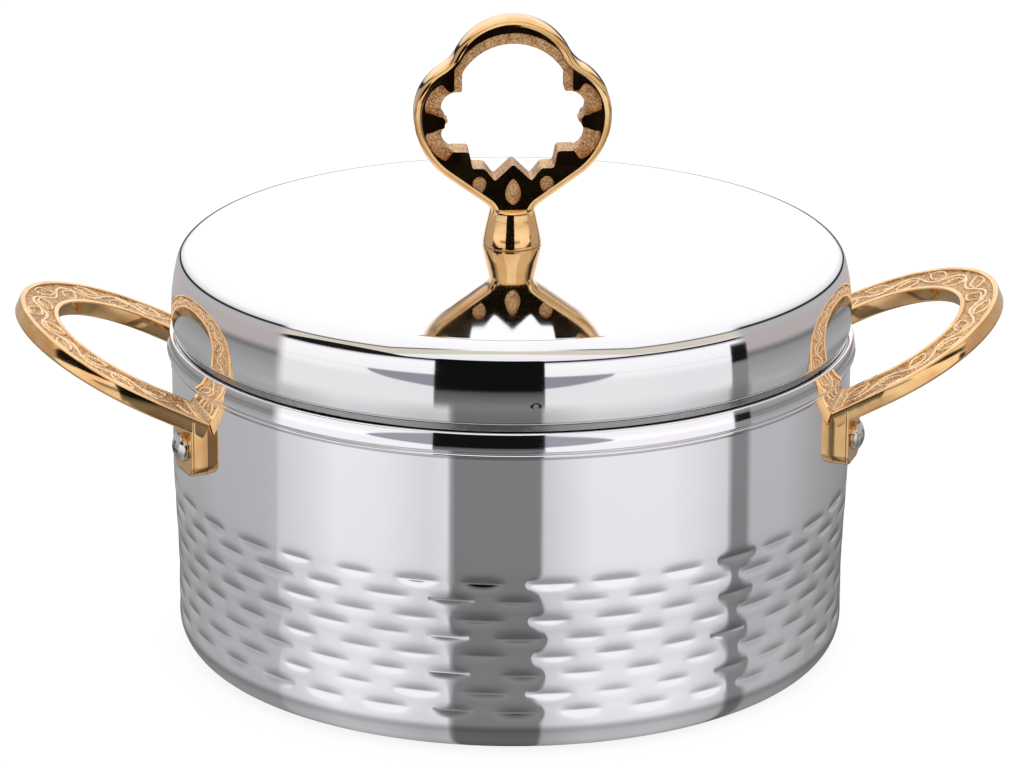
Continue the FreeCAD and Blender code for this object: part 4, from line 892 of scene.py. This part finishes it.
def within(places, loop):
    """Which places lie inside a closed loop."""
    places, loop = np.asarray(places, float), np.asarray(loop, float)
    inside = np.zeros(len(places), bool)
    for (x0, y0), (x1, y1) in zip(loop, np.roll(loop, -1, axis=0)):
        if y0 == y1:
            continue
        crosses = (places[:, 1] < y0) != (places[:, 1] < y1)
        reach = x0 + (places[:, 1] - y0) * (x1 - x0) / (y1 - y0)
        inside ^= crosses & (places[:, 0] < reach)
    return inside


def triangles(loops, extra):
    """Triangulates loops and extra points with the loops' edges kept."""
    points, edges = [], []
    for loop in loops:
        first = len(points)
        points += loop
        edges += [(first + index, first + (index + 1) % len(loop)) for index in range(len(loop))]
    result = delaunay_2d_cdt([Vector(point) for point in points + extra], edges, [], 0, 1e-5)
    return np.array([tuple(point) for point in result[0]]), [tuple(face) for face in result[2]]


# ---- knob ----

KNOB_BASE = LID_TOP + GAP
RING_HALF_THICK = 5.25
KNOB_HEIGHT = 75.4
KNOB_HALF_WIDTH = 31.7
LOBE_HEIGHT = 43.5
LOBE_RADIUS = 18.5
SIDE_RUN = 15.9
CROWN_RADIUS = 20.3
WAIST_RADIUS = 12.0
RIM_ROUND = 2.4
NECK_RADIUS = 6.5
NECK_HEIGHT = 10.1
NECK_SWEEP = 5.0
FOOT_RADIUS = 9.5
FOOT_LAND = 1.0
FOOT_ROUND = 0.3
KNOB_SEGMENTS = 144
STEM_WAIST = (7.8, 8.9)
STEM_SWELL = 120.0
STEM_NECK = (7.25, 11.4)
STEM_ROUND = (6.2, 12.3)
STEM_BEND = 1.2
STEM_TOP = 12.6
EYE_FLOOR = 26.4
CROWN_BAND = 8.5
LEDGE_DEPTH = 2.2
LEDGE_BAND = 4.5
INLAY_DEPTH = 0.8
KNOB_SEED = 5
CAST_SOFTENING = 3
FACE_MARGIN = 0.12
WALL_JITTER = 0.07
STEP_ROWS, EYE_ROWS = 4, 13
CAST_GRID, CAST_GRID_HALF, CAST_GRID_LOW, CAST_GRID_HIGH = 0.55, 30, 12, 75

# Sunk drops and the flame between them: across, up from the eye's floor, half width, reach below
# the widest place and reach above it.
DROPS = [(10.8, -5.0, 2.2, 3.4, 2.4), (-10.8, -5.0, 2.2, 3.4, 2.4), (0.0, -8.6, 2.5, 3.6, 5.4)]
POLISHED, ROUGH, FLAT = 0, 1, 2


def outer_meeting(centre_a, reach_a, centre_b, reach_b):
    """The right-hand point at those distances from two centres."""
    a, b = np.array(centre_a, float), np.array(centre_b, float)
    line = b - a
    length = np.linalg.norm(line)
    along = (reach_a ** 2 - reach_b ** 2 + length ** 2) / (2 * length)
    across = math.sqrt(reach_a ** 2 - along ** 2)
    forward = line / length
    choices = [a + forward * along + np.array((-forward[1], forward[0])) * across * side
               for side in (LEFT, RIGHT)]
    return max(choices, key=lambda place: place[0])


def heading_of(origin, target):
    """Angle in degrees from one place to another."""
    return math.degrees(math.atan2(target[1] - origin[1], target[0] - origin[0]))


def ring_outline():
    """Closed outline of the ring, counterclockwise from the right side of its neck."""
    run = KNOB_HALF_WIDTH - NECK_RADIUS - NECK_SWEEP
    rise = LOBE_HEIGHT - NECK_HEIGHT
    straight = NECK_SWEEP ** 2 + SIDE_RUN ** 2
    flank = (run ** 2 + rise ** 2 - straight) / (2 * (run + NECK_SWEEP))
    neck_centre = (NECK_RADIUS + NECK_SWEEP, NECK_HEIGHT)
    flank_centre = (KNOB_HALF_WIDTH - flank, LOBE_HEIGHT)
    lobe_centre = (KNOB_HALF_WIDTH - LOBE_RADIUS, LOBE_HEIGHT)
    crown_centre = (0.0, KNOB_HEIGHT - CROWN_RADIUS)
    between = (flank_centre[0] - neck_centre[0], flank_centre[1] - neck_centre[1])
    lean = math.degrees(math.acos((flank + NECK_SWEEP) / math.hypot(*between))
                        - math.atan2(between[0], between[1]))
    waist_centre = outer_meeting(lobe_centre, LOBE_RADIUS + WAIST_RADIUS,
                                 crown_centre, CROWN_RADIUS + WAIST_RADIUS)
    right = arc_about(neck_centre, NECK_SWEEP, 180, 90 + lean)
    right += arc_about(flank_centre, flank, -90 + lean, 0)
    right += arc_about(lobe_centre, LOBE_RADIUS, 0, heading_of(lobe_centre, waist_centre))[1:]
    right += arc_about(waist_centre, WAIST_RADIUS, heading_of(waist_centre, lobe_centre) % 360,
                       heading_of(waist_centre, crown_centre) % 360)[1:]
    right += arc_about(crown_centre, CROWN_RADIUS, heading_of(crown_centre, waist_centre), 90)[1:]
    left = [(-x, z) for x, z in right[-2::-1]]
    return resampled(right + left, 1.0)


def mirrored_loop(first, half, last):
    """Closed path from its lowest middle point, right half and highest middle point."""
    path = [first] + half + [last]
    arrivals = [step[2:] for step in path[1:]]
    for index in range(len(half) - 1, -1, -1):
        path.append((-half[index][0], half[index][1], *arrivals[index + 1]))
    return path


def cap_radius(half_chord, rise):
    """Radius of the arc that stands that high over its chord."""
    return (half_chord ** 2 + rise ** 2) / (2 * rise)


def plain_outline(path, spacing=0.5):
    """Samples a closed path with arcs evenly and softens its corners as a casting does."""
    points = []
    for index, target in enumerate(path):
        start = path[index - 1][:2]
        if len(target) == 2:
            points.append(target)
        else:
            points += arc_points(start, target[:2], target[2], target[3], 4)
    places = np.array(resampled(points, spacing))
    for _ in range(CAST_SOFTENING):
        places = (np.roll(places, 1, axis=0) + 2 * places + np.roll(places, -1, axis=0)) / 4
    return places.tolist()


def eye_loop():
    """The pierced eye: tooth, notches, steps, shelves, cusped side notches, fangs and arch."""
    floor = EYE_FLOOR
    arch_half, arch_foot, arch_top = 16.3, floor + 31.0, KNOB_HEIGHT - CROWN_BAND
    return plain_outline(mirrored_loop((0.0, floor + 1.4), [
        (5.9, floor - 4.2), (9.1, floor), (13.1, floor), (14.2, floor + 5.6), (18.8, floor + 5.6),
        (20.6, floor + 15.2, 5.3, RIGHT), (18.6, floor + 24.8, 5.2, RIGHT),
        (arch_half, floor + 24.8), (arch_half, arch_foot),
    ], (0.0, arch_top, cap_radius(arch_half, arch_top - arch_foot), RIGHT)))


def ledge_loop():
    """Wider outline of the eye on the face. Its lower side lies in the open eye."""
    floor = EYE_FLOOR
    arch_half, arch_foot, arch_top = 18.9, floor + 32.5, KNOB_HEIGHT - LEDGE_BAND
    return plain_outline(mirrored_loop((0.0, floor + 7.5), [
        (18.0, floor + 7.5), (21.6, floor + 2.6), (28.2, floor + 11.9, 11.0, RIGHT),
        (25.6, floor + 12.2), (23.4, floor + 13.4), (22.0, floor + 13.2), (21.6, floor + 17.4),
        (23.6, floor + 17.2), (25.8, floor + 18.4), (28.2, floor + 18.8),
        (22.6, floor + 28.0, 8.5, RIGHT), (20.9, floor + 25.4), (arch_half, floor + 25.4),
        (arch_half, arch_foot),
    ], (0.0, arch_top, cap_radius(arch_half, arch_top - arch_foot), RIGHT)))


def leaf_loop(middle, widest, half_width, below, above):
    """Upright leaf of four arcs."""
    low, high = cap_radius(below, half_width), cap_radius(above, half_width)
    return plain_outline([
        (middle, widest - below, low, RIGHT),
        (middle + half_width, widest, low, RIGHT),
        (middle, widest + above, high, RIGHT),
        (middle - half_width, widest, high, RIGHT),
    ])


def add_rim(soup, loop, inward):
    """Rounded rim of the ring between its two faces."""
    rows = []
    for angle in np.linspace(0, math.pi / 2, 9):
        inset = RIM_ROUND * (1 - math.sin(angle))
        depth = RING_HALF_THICK - RIM_ROUND * (1 - math.cos(angle))
        rows.append(np.column_stack((loop[:, 0] + inward[:, 0] * inset, np.full(len(loop), -depth),
                                     loop[:, 1] + inward[:, 1] * inset)))
    rows += [row * (1, -1, 1) for row in rows[::-1]]
    soup.add_grid(rows, POLISHED, closed=True)


def inward_normals(loop):
    """Unit vectors toward the left of the way round, one at each point."""
    ahead = np.roll(loop, -1, axis=0) - np.roll(loop, 1, axis=0)
    ahead /= np.linalg.norm(ahead, axis=1)[:, None]
    return np.column_stack((-ahead[:, 1], ahead[:, 0]))


def any_within(places, loops):
    """Which places lie inside at least one loop."""
    return np.any([within(places, loop) for loop in loops], axis=0)


def sunk_grid(eye, floors):
    """Close grid of places on the sunk floors."""
    grid = np.array([(x, z) for x in np.arange(-CAST_GRID_HALF, CAST_GRID_HALF, CAST_GRID)
                     for z in np.arange(CAST_GRID_LOW, CAST_GRID_HIGH, CAST_GRID)])
    return grid[any_within(grid, floors) & ~within(grid, eye)].tolist()


def add_faces(soup, places, faces, levels):
    """Both faces of the ring, each part at its level below them. Returns the levels beside every
    edge, where None is the open eye."""
    sides = {}
    for face, level in zip(faces, levels):
        if level is not None:
            corners = [(places[index][0], level - RING_HALF_THICK, places[index][1]) for index in face]
            kind = ROUGH if level else FLAT
            soup.add(corners, kind)
            soup.add([(x, -y, z) for x, y, z in corners[::-1]], kind)
        for start, end in zip(face, face[1:] + face[:1]):
            sides.setdefault((min(start, end), max(start, end)), []).append(level)
    return sides


def add_walls(soup, places, sides):
    """Uneven walls where the level changes, and right through the ring round the eye."""
    chance = np.random.default_rng(KNOB_SEED)
    jitter = {}
    for ends, beside in sides.items():
        if len(beside) != 2 or beside[0] == beside[1]:
            continue
        depths = [RING_HALF_THICK - level for level in beside if level is not None]
        through = len(depths) == 1
        first, last, count = -min(depths), -max(depths), STEP_ROWS
        if through:
            last, count = depths[0], EYE_ROWS
        rows = np.linspace(first, last, count)
        wall = []
        for number, y in enumerate(rows):
            row = []
            for key in ends:
                shift = (0.0, 0.0)
                if 0 < number < len(rows) - 1:
                    shift = jitter.setdefault((key, number), chance.uniform(-WALL_JITTER, WALL_JITTER, 2))
                row.append((places[key][0] + shift[0], y, places[key][1] + shift[1]))
            wall.append(row)
        soup.add_grid(wall, ROUGH)
        if not through:
            soup.add_grid([[(x, -y, z) for x, y, z in row] for row in wall], ROUGH)


def add_ring(soup):
    """Ring with its pierced eye, the ledge round it and the sunk drops and flame, alike on both
    faces. Sunk floors and all inner walls are left rough from the mould."""
    loop = np.array(ring_outline())
    inward = inward_normals(loop)
    face_edge = (loop + inward * RIM_ROUND).tolist()
    face_flat = (loop + inward * (RIM_ROUND + FACE_MARGIN)).tolist()
    eye, ledge = eye_loop(), ledge_loop()
    drops = [leaf_loop(across, EYE_FLOOR + up, *sizes) for across, up, *sizes in DROPS]
    places, faces = triangles([face_edge, face_flat, eye, ledge] + drops, sunk_grid(eye, [ledge] + drops))
    middles = places[np.array(faces)].mean(axis=1)
    on_face = within(middles, face_edge)
    faces = [face for face, chosen in zip(faces, on_face) if chosen]
    middles = middles[on_face]
    levels = np.where(any_within(middles, drops), INLAY_DEPTH, 0.0)
    levels = np.where(within(middles, ledge), LEDGE_DEPTH, levels).tolist()
    levels = [None if pierced else level for pierced, level in zip(within(middles, eye), levels)]
    add_walls(soup, places, add_faces(soup, places, faces, levels))
    add_rim(soup, loop, inward)


def make_knob():
    soup = Soup()
    add_ring(soup)
    profile = outline([
        (0, 0), (FOOT_RADIUS - FOOT_ROUND, 0), (FOOT_RADIUS, FOOT_ROUND, FOOT_ROUND, RIGHT),
        (FOOT_RADIUS, FOOT_LAND),
        (*STEM_WAIST, STEM_SWELL, RIGHT), STEM_NECK, (*STEM_ROUND, STEM_BEND, RIGHT), (0, STEM_TOP),
    ], step=3, edge=0.5, longest=4)
    vertices, faces = lathe(profile, KNOB_SEGMENTS)
    for face in faces:
        soup.add(vertices[face], POLISHED)
    soup.points = [(x, y, z + KNOB_BASE) for x, y, z in soup.points]
    piece = soup.make("cast_knob", [polished_gold, rough_gold, mirror_gold], sharp=38)
    finish_piece(piece, "lid", "cast_gold", "knob")


make_knob()


# ---- handles ----

LOOP_HEIGHT = 95.4
LOOP_TILT = math.radians(25)
LOOP_REACH = 53.0
LOOP_OUT = 49.5
LOOP_IN = 34.0
TIP_BAND = 13.5
LOOP_THICK = 5.5
BORDER = 1.75
GROUND_DEPTH = 0.7
GROUND_END = 2.4
RELIEF_STEP = 0.3
RELIEF_COLUMNS = 52
HANDLE_SEED = 23
VINE_WAVE = 23.0
VINE_SWING = 0.24
VINE_HALF = 0.62
LEAF_LENGTH = 9.6
LEAF_WIDTH = 5.0
LEAF_RIM = 0.55
RELIEF_HEIGHT = 0.6
GRAIN_HEIGHT = 0.16
CHASED = 2
LEG_LENGTH = 15.0
GRAIN_MIDDLE, GRAIN_SPREAD, GRAIN_TOP = 0.6, 1.3, 1.6
LEAF_TILT = math.radians(24)
LEAF_ASIDE = 0.75
LEAF_POINT = 1.7
VEIN_HALF, VEIN_SHARE, VEIN_LEVEL = 0.24, 0.22, 0.7
VINE_CROWN, RIM_CROWN, VEIN_CROWN = 1.45, 1.4, 1.3
CARVED_LEVEL = 0.34

# Section of the loop's rounded edges, from the underside to the carved band: offset and depth.
LOOP_EDGE = [(0.9, -LOOP_THICK), (0.55, -5.38), (0.22, -5.08), (0.05, -4.7), (0, -4.4), (0, -2.6),
             (0, -0.6), (0.06, -0.34), (0.2, -0.13), (0.42, -0.01), (0.6, 0), (1.5, 0), (1.64, -0.03),
             (1.72, -0.12)]
BAND_START, BAND_DEPTH = LOOP_EDGE[-1]


def loop_points(outer_share, stations):
    """Plane places (u outward, v across) along the horseshoe for shares from inner to outer edge.
    Stations run from -1 to 2: a leg, the bend from 0 to 1, and the other leg."""
    radius = LOOP_IN + (LOOP_OUT - LOOP_IN) * outer_share
    inner_centre = LOOP_REACH - TIP_BAND - LOOP_IN
    centre = inner_centre + (LOOP_REACH - LOOP_OUT - inner_centre) * outer_share
    behind = WALL - np.sqrt(WALL ** 2 - radius ** 2)
    start = GAP - behind / math.cos(LOOP_TILT)
    turn = math.pi * (np.clip(stations, 0, 1) - 0.5)
    bend = (stations >= 0) & (stations <= 1)
    leg = np.where(stations < 0, 1 + stations, 2 - stations)
    u = np.where(bend, centre + radius * np.cos(turn), start + (centre - start) * leg)
    v = radius * np.where(bend, np.sin(turn), np.where(stations < 0, -1.0, 1.0))
    return u, v


def loop_space(u, v, depth):
    """Places on the right-hand side of the bowl from the loop's own plane."""
    x = WALL + u * math.cos(LOOP_TILT) - depth * math.sin(LOOP_TILT)
    z = LOOP_HEIGHT + u * math.sin(LOOP_TILT) + depth * math.cos(LOOP_TILT)
    return np.stack((x, v, z), axis=-1)


def relief(along, across, width, from_wall, chance):
    """Height of the carved band above its ground: grains, a waving vine and open leaves."""
    grain = chance.normal(0, 1, along.shape)
    for axis in (0, 1):
        grain = (grain + np.roll(grain, 1, axis) + np.roll(grain, -1, axis)) / 3
    height = GRAIN_HEIGHT * np.clip(GRAIN_MIDDLE + grain * GRAIN_SPREAD, 0, GRAIN_TOP)
    middle = width / 2
    swing = VINE_SWING * (width - 2 * BORDER)
    wave = along / VINE_WAVE * FULL
    vine = middle + swing * np.sin(wave)
    lean = np.cos(np.arctan(swing * FULL / VINE_WAVE * np.cos(wave)))
    raised = np.clip(VINE_CROWN - np.abs(across - vine) * lean / VINE_HALF, 0, 1)
    for number in range(int(along.max() / VINE_WAVE * 2) + 1):
        side = 1.0 if number % 2 else -1.0
        tilt = side * LEAF_TILT
        x = along - (number + 0.5) * VINE_WAVE / 2
        y = across - middle - side * swing * LEAF_ASIDE
        forward = x * math.cos(tilt) + y * math.sin(tilt)
        aside = -x * math.sin(tilt) + y * math.cos(tilt)
        share = np.clip(np.abs(forward) / (LEAF_LENGTH / 2), 0, 1)
        edge = LEAF_WIDTH / 2 * (1 - share ** LEAF_POINT)
        rim = np.clip(RIM_CROWN - np.abs(np.abs(aside) - edge) / LEAF_RIM, 0, 1)
        vein = np.clip(VEIN_CROWN - np.abs(aside) / VEIN_HALF, 0, 1)
        vein *= (np.abs(forward) < LEAF_LENGTH * VEIN_SHARE) * VEIN_LEVEL
        raised = np.maximum(raised, np.where(share < 1, np.maximum(rim, vein), 0))
    height = np.maximum(height, RELIEF_HEIGHT * raised * (0.9 + 0.1 * np.clip(grain, -1, 1)))
    end = np.clip((GROUND_END - from_wall) / 0.2, 0, 1)
    return height * (1 - end) + GROUND_DEPTH * end


def handle_stations():
    """Stations along the horseshoe and their distance along the middle of the band."""
    leg = math.ceil(LEG_LENGTH / RELIEF_STEP)
    bend = math.ceil(math.pi * (LOOP_IN + LOOP_OUT) / 2 / RELIEF_STEP)
    stations = np.concatenate((np.linspace(-1, 0, leg, endpoint=False),
                               np.linspace(0, 1, bend, endpoint=False), np.linspace(1, 2, leg + 1)))
    u, v = loop_points(np.full_like(stations, 0.5), stations)
    steps = np.hypot(np.diff(u), np.diff(v))
    return stations, np.concatenate(((0.0,), np.cumsum(steps)))


def add_loop(soup, chance):
    """Loop with polished borders, sides and underside, and the carved band between the borders."""
    stations, along = handle_stations()
    inner_u, inner_v = loop_points(np.zeros_like(stations), stations)
    outer_u, outer_v = loop_points(np.ones_like(stations), stations)
    width = np.hypot(outer_u - inner_u, outer_v - inner_v)
    width = np.where((stations >= 0) & (stations <= 1), width, LOOP_OUT - LOOP_IN)

    def column(offset, depth, from_outer):
        share = offset / width
        return loop_space(*loop_points(1 - share if from_outer else share, stations), depth)

    for from_outer in (False, True):
        columns = [column(offset, depth, from_outer) for offset, depth in LOOP_EDGE]
        if from_outer:
            columns = columns[::-1]
        soup.add_grid(np.stack(columns, axis=1), POLISHED)
    under = [column(*LOOP_EDGE[0], from_outer) for from_outer in (True, False)]
    soup.add_grid(np.stack(under, axis=1), POLISHED)

    shares = np.linspace(0, 1, RELIEF_COLUMNS)
    across = BAND_START + shares[None, :] * (width[:, None] - 2 * BAND_START)
    far = np.minimum(along, along[-1] - along)[:, None] + 0 * across
    height = relief(along[:, None] + 0 * across, across, width[:, None], far, chance)
    depth = height - GROUND_DEPTH
    depth[:, 0] = depth[:, -1] = BAND_DEPTH
    grid = np.stack([loop_space(*loop_points(across[:, index] / width, stations), depth[:, index])
                     for index in range(RELIEF_COLUMNS)], axis=1)
    level = (height[:-1, :-1] + height[1:, 1:]) / 2
    soup.add_grid(grid, np.where(level > CARVED_LEVEL, CHASED, ROUGH))


SCREW_HEIGHT = 80.4
LUG_THICK = 5.0
LUG_WIDTH = 15.5
LUG_LOW = SCREW_HEIGHT - 8.9
LUG_HIGH = 90.5
LUG_CORNER = 4.0
LUG_ROUND = 1.0
LUG_FACE = WALL + GAP + LUG_THICK
LEG_MIDDLE = (LOOP_IN + LOOP_OUT) / 2
LUG_AZIMUTH = math.asin(LEG_MIDDLE / (WALL + LUG_THICK / 2))
LUG_MARGIN = 0.1
WEB_RADIUS = 3.0
WEB_ROOT = 1.0


def at_heading(radial, aside, height, heading):
    """Space places from distances along a heading, aside from it and up."""
    radial, aside, height = np.broadcast_arrays(radial, aside, height)
    return np.stack((radial * math.cos(heading) - aside * math.sin(heading),
                     radial * math.sin(heading) + aside * math.cos(heading), height), axis=-1)


def lug_outline(inset):
    half, low, corner = LUG_WIDTH / 2 - inset, LUG_LOW + inset, LUG_CORNER - inset
    right = arc_about((half - corner, low + corner), corner, -90, 0, step=6)
    left = arc_about((-half + corner, low + corner), corner, 180, 270, step=6)
    return np.array(left + right + [(half, LUG_HIGH), (-half, LUG_HIGH)])


def web_section():
    """Section of the web that rounds the corner between a lug's face and the loop's underside."""
    slope = math.tan(LOOP_TILT) * math.cos(LUG_AZIMUTH)
    length = math.hypot(1, slope)
    along, rise = 1 / length, slope / length
    reach = WEB_RADIUS * along / (1 + rise)
    corner = LOOP_HEIGHT + (LUG_FACE * math.cos(LUG_AZIMUTH) - WALL) * math.tan(LOOP_TILT)
    corner -= LOOP_THICK / math.cos(LOOP_TILT)
    low, high, root = corner - reach, corner + reach * rise, LUG_FACE - WEB_ROOT
    arc = arc_points((LUG_FACE, low), (LUG_FACE + reach * along, high), WEB_RADIUS, LEFT, 8)
    return np.array([(root, low), (LUG_FACE, low)] + arc + [(root, high)])


def add_lug(soup, heading):
    """Lug against the wall: rounded lower corners, rounded outer edge, and a web under the loop."""
    def row(outline_points, radial):
        return at_heading(radial, outline_points[:, 0], outline_points[:, 1], heading)

    plain, flat = lug_outline(0), lug_outline(LUG_ROUND + LUG_MARGIN)
    rows = [row(plain, np.sqrt((WALL + GAP) ** 2 - plain[:, 0] ** 2))]
    for angle in np.linspace(0, math.pi / 2, 7):
        section = lug_outline(LUG_ROUND * (1 - math.cos(angle)))
        rows.append(row(section, LUG_FACE - LUG_ROUND * (1 - math.sin(angle))))
    rows.append(row(flat, LUG_FACE))
    soup.add_grid(rows, POLISHED, closed=True)
    soup.add(rows[-1], POLISHED)

    section = web_section()
    half = LUG_WIDTH / 2 - LUG_ROUND
    ends = [at_heading(section[:, 0], side * half, section[:, 1], heading) for side in (-1, 1)]
    soup.add_grid(ends, POLISHED, closed=True)
    for end in ends:
        soup.add(end, POLISHED)


def make_handle(side):
    soup = Soup()
    add_loop(soup, np.random.default_rng(HANDLE_SEED + (side == "left")))
    for heading in (-LUG_AZIMUTH, LUG_AZIMUTH):
        add_lug(soup, heading)
    sense = -1 if side == "left" else 1
    soup.points = [(sense * x, sense * y, z) for x, y, z in soup.points]
    piece = soup.make(f"cast_handle_{side}", [polished_gold, rough_gold, chased_gold], sharp=38)
    finish_piece(piece, "bowl", "cast_gold", f"handle_{side}")


# ---- handle screws ----

HEAD_RADIUS = 4.75
HEAD_HEIGHT = 3.2
HEAD_EDGE = 1.4
SHANK_RADIUS = 2.5
SHANK_LENGTH = 21.0
CROSS_HALF_WIDTH = 0.62
CROSS_REACH = 2.5
CROSS_DEPTH = 1.5
CROSS_TAPER = 0.35
DOME_RADIUS = cap_radius(HEAD_RADIUS, HEAD_HEIGHT - HEAD_EDGE)
DOME_START = 3.9
HEAD_TURNS = 72
HEAD_RINGS = (1.2, 1.9, 2.6, 3.2)
FIRST_SPIN = 0.35


def dome_height(x, y):
    return HEAD_HEIGHT - DOME_RADIUS + math.sqrt(DOME_RADIUS ** 2 - x * x - y * y)


def cross_loop():
    """Outline of the cross recess, counterclockwise."""
    wide, reach = CROSS_HALF_WIDTH, CROSS_REACH
    arm = [(wide, wide), (reach, wide), (reach, -wide)]
    loop = []
    for quarter in range(4):
        turn = -quarter * math.pi / 2
        loop += [(x * math.cos(turn) - y * math.sin(turn), x * math.sin(turn) + y * math.cos(turn))
                 for x, y in arm]
    return loop[::-1]


def circle_points(radius, count, *height):
    """Points on a circle, with a height where one is given."""
    turns = np.arange(count) * FULL / count
    return [(radius * math.cos(turn), radius * math.sin(turn), *height) for turn in turns]


def pan_head():
    """Pan-head screw along +Z, head up from its seat at z = 0, with a cross recess."""
    soup = Soup()
    dome = [(radius, dome_height(radius, 0)) for radius in np.linspace(HEAD_RADIUS, DOME_START, 5)]
    profile = [(SHANK_RADIUS, -SHANK_LENGTH), (SHANK_RADIUS, 0), (HEAD_RADIUS - 0.1, 0),
               (HEAD_RADIUS, 0.15), (HEAD_RADIUS, HEAD_EDGE)] + dome
    soup.add_grid([circle_points(radius, HEAD_TURNS, height) for radius, height in profile], 0, closed=True)
    cross = resampled(cross_loop(), 0.25)
    rings = [point for radius in HEAD_RINGS for point in circle_points(radius, HEAD_TURNS // 2)]
    places, faces = triangles([circle_points(DOME_START, HEAD_TURNS), cross], rings)
    sunk = within(places[np.array(faces)].mean(axis=1), cross)
    for face, low in zip(faces, sunk):
        if not low:
            soup.add([(*places[index], dome_height(*places[index])) for index in face], 0)
    narrow = 1 - CROSS_TAPER / CROSS_REACH
    top = [(x, y, dome_height(x, y)) for x, y in cross]
    foot = [(x * narrow, y * narrow, HEAD_HEIGHT - CROSS_DEPTH) for x, y in cross]
    soup.add_grid([top, foot], 0, closed=True)
    soup.add(foot, 0)
    return soup


def make_screws(side):
    facing = math.pi if side == "left" else 0.0
    both = Soup()
    for number, heading in enumerate((facing - LUG_AZIMUTH, facing + LUG_AZIMUTH)):
        head = pan_head()
        spin = FIRST_SPIN + number
        x, y, z = np.array(head.points).T
        across = x * math.cos(spin) - y * math.sin(spin)
        up = x * math.sin(spin) + y * math.cos(spin)
        placed = at_heading(LUG_FACE + GAP + z, across, SCREW_HEIGHT + up, heading)
        for face in head.faces:
            both.add(placed[list(face)], 0)
    piece = both.make(f"pan_screws_{side}", [screw_steel], sharp=35)
    finish_piece(piece, "bowl", "screw_steel", f"handle_{side}_screws")


for side in ("left", "right"):
    make_handle(side)
    make_screws(side)


# ---- floor ----

FLOOR_REACH = 4000.0
FLOOR_GLOW = 0.80
FLOOR_COLOUR = (0.30, 0.30, 0.30)


def make_floor():
    """Pale floor that stays near white and keeps the object's shadow."""
    corners = [(x * FLOOR_REACH, y * FLOOR_REACH, 0) for x, y in ((-1, -1), (1, -1), (1, 1), (-1, 1))]
    material, g = new_graph("pale_floor")
    seen = g.add("LightPath").outputs["Is Camera Ray"]
    glow = g.add("Emission", None, Color=(1, 1, 1), Strength=g.times(seen, FLOOR_GLOW))
    both = g.add("AddShader")
    g.feed(both.inputs[0], g.add("BsdfDiffuse", None, Color=FLOOR_COLOUR).outputs[0])
    g.feed(both.inputs[1], glow.outputs[0])
    g.show(both)
    floor = make_object("floor", corners, [(0, 1, 2, 3)], [material])
    floor.visible_glossy = False


make_floor()


FLAG_DISTANCE = 3000.0
FLAG_MARGIN = 1.04
FLAG_MIDDLE = 46.0
FLAG_OPENING = (0.52, 0.70)
FLAG_START = 20.0
FLAG_TONE = (0.006, 0.005, 0.004)


def make_flag():
    """Black horseshoe far in front and low down, which the knob's flat face mirrors. It has the
    outline of that face, so that the lid below mirrors only a small trace of it."""
    material, g = new_graph("black_flag")
    g.show(g.add("Emission", None, Color=FLAG_TONE, Strength=1.0))
    station = FRONT * CAMERA_DISTANCE
    behind = -station.y - 2 * RING_HALF_THICK
    spread = (behind + FLAG_DISTANCE) / (behind + RING_HALF_THICK)
    outer = np.array([(x, z - FLAG_MIDDLE) for x, z in ring_outline() if z > FLAG_START])
    start = int(np.argmax(np.hypot(*(outer - np.roll(outer, 1, axis=0)).T)))
    outer = np.roll(outer, -start, axis=0)
    rows = []
    for share in (FLAG_OPENING, (FLAG_MARGIN, FLAG_MARGIN)):
        x = station.x + (outer[:, 0] * share[0] - station.x) * spread
        z = FLAG_MIDDLE + KNOB_BASE + outer[:, 1] * share[1]
        z = CAMERA_HEIGHT + (z - CAMERA_HEIGHT) * spread
        rows.append(np.column_stack((x, np.full(len(x), -FLAG_DISTANCE), z)))
    sheet = Soup()
    sheet.add_grid(rows, 0)
    flag = sheet.make("knob_flag", [material], sharp=60)
    flag.visible_camera = False
    flag.visible_diffuse = False
    flag.visible_shadow = False


make_flag()
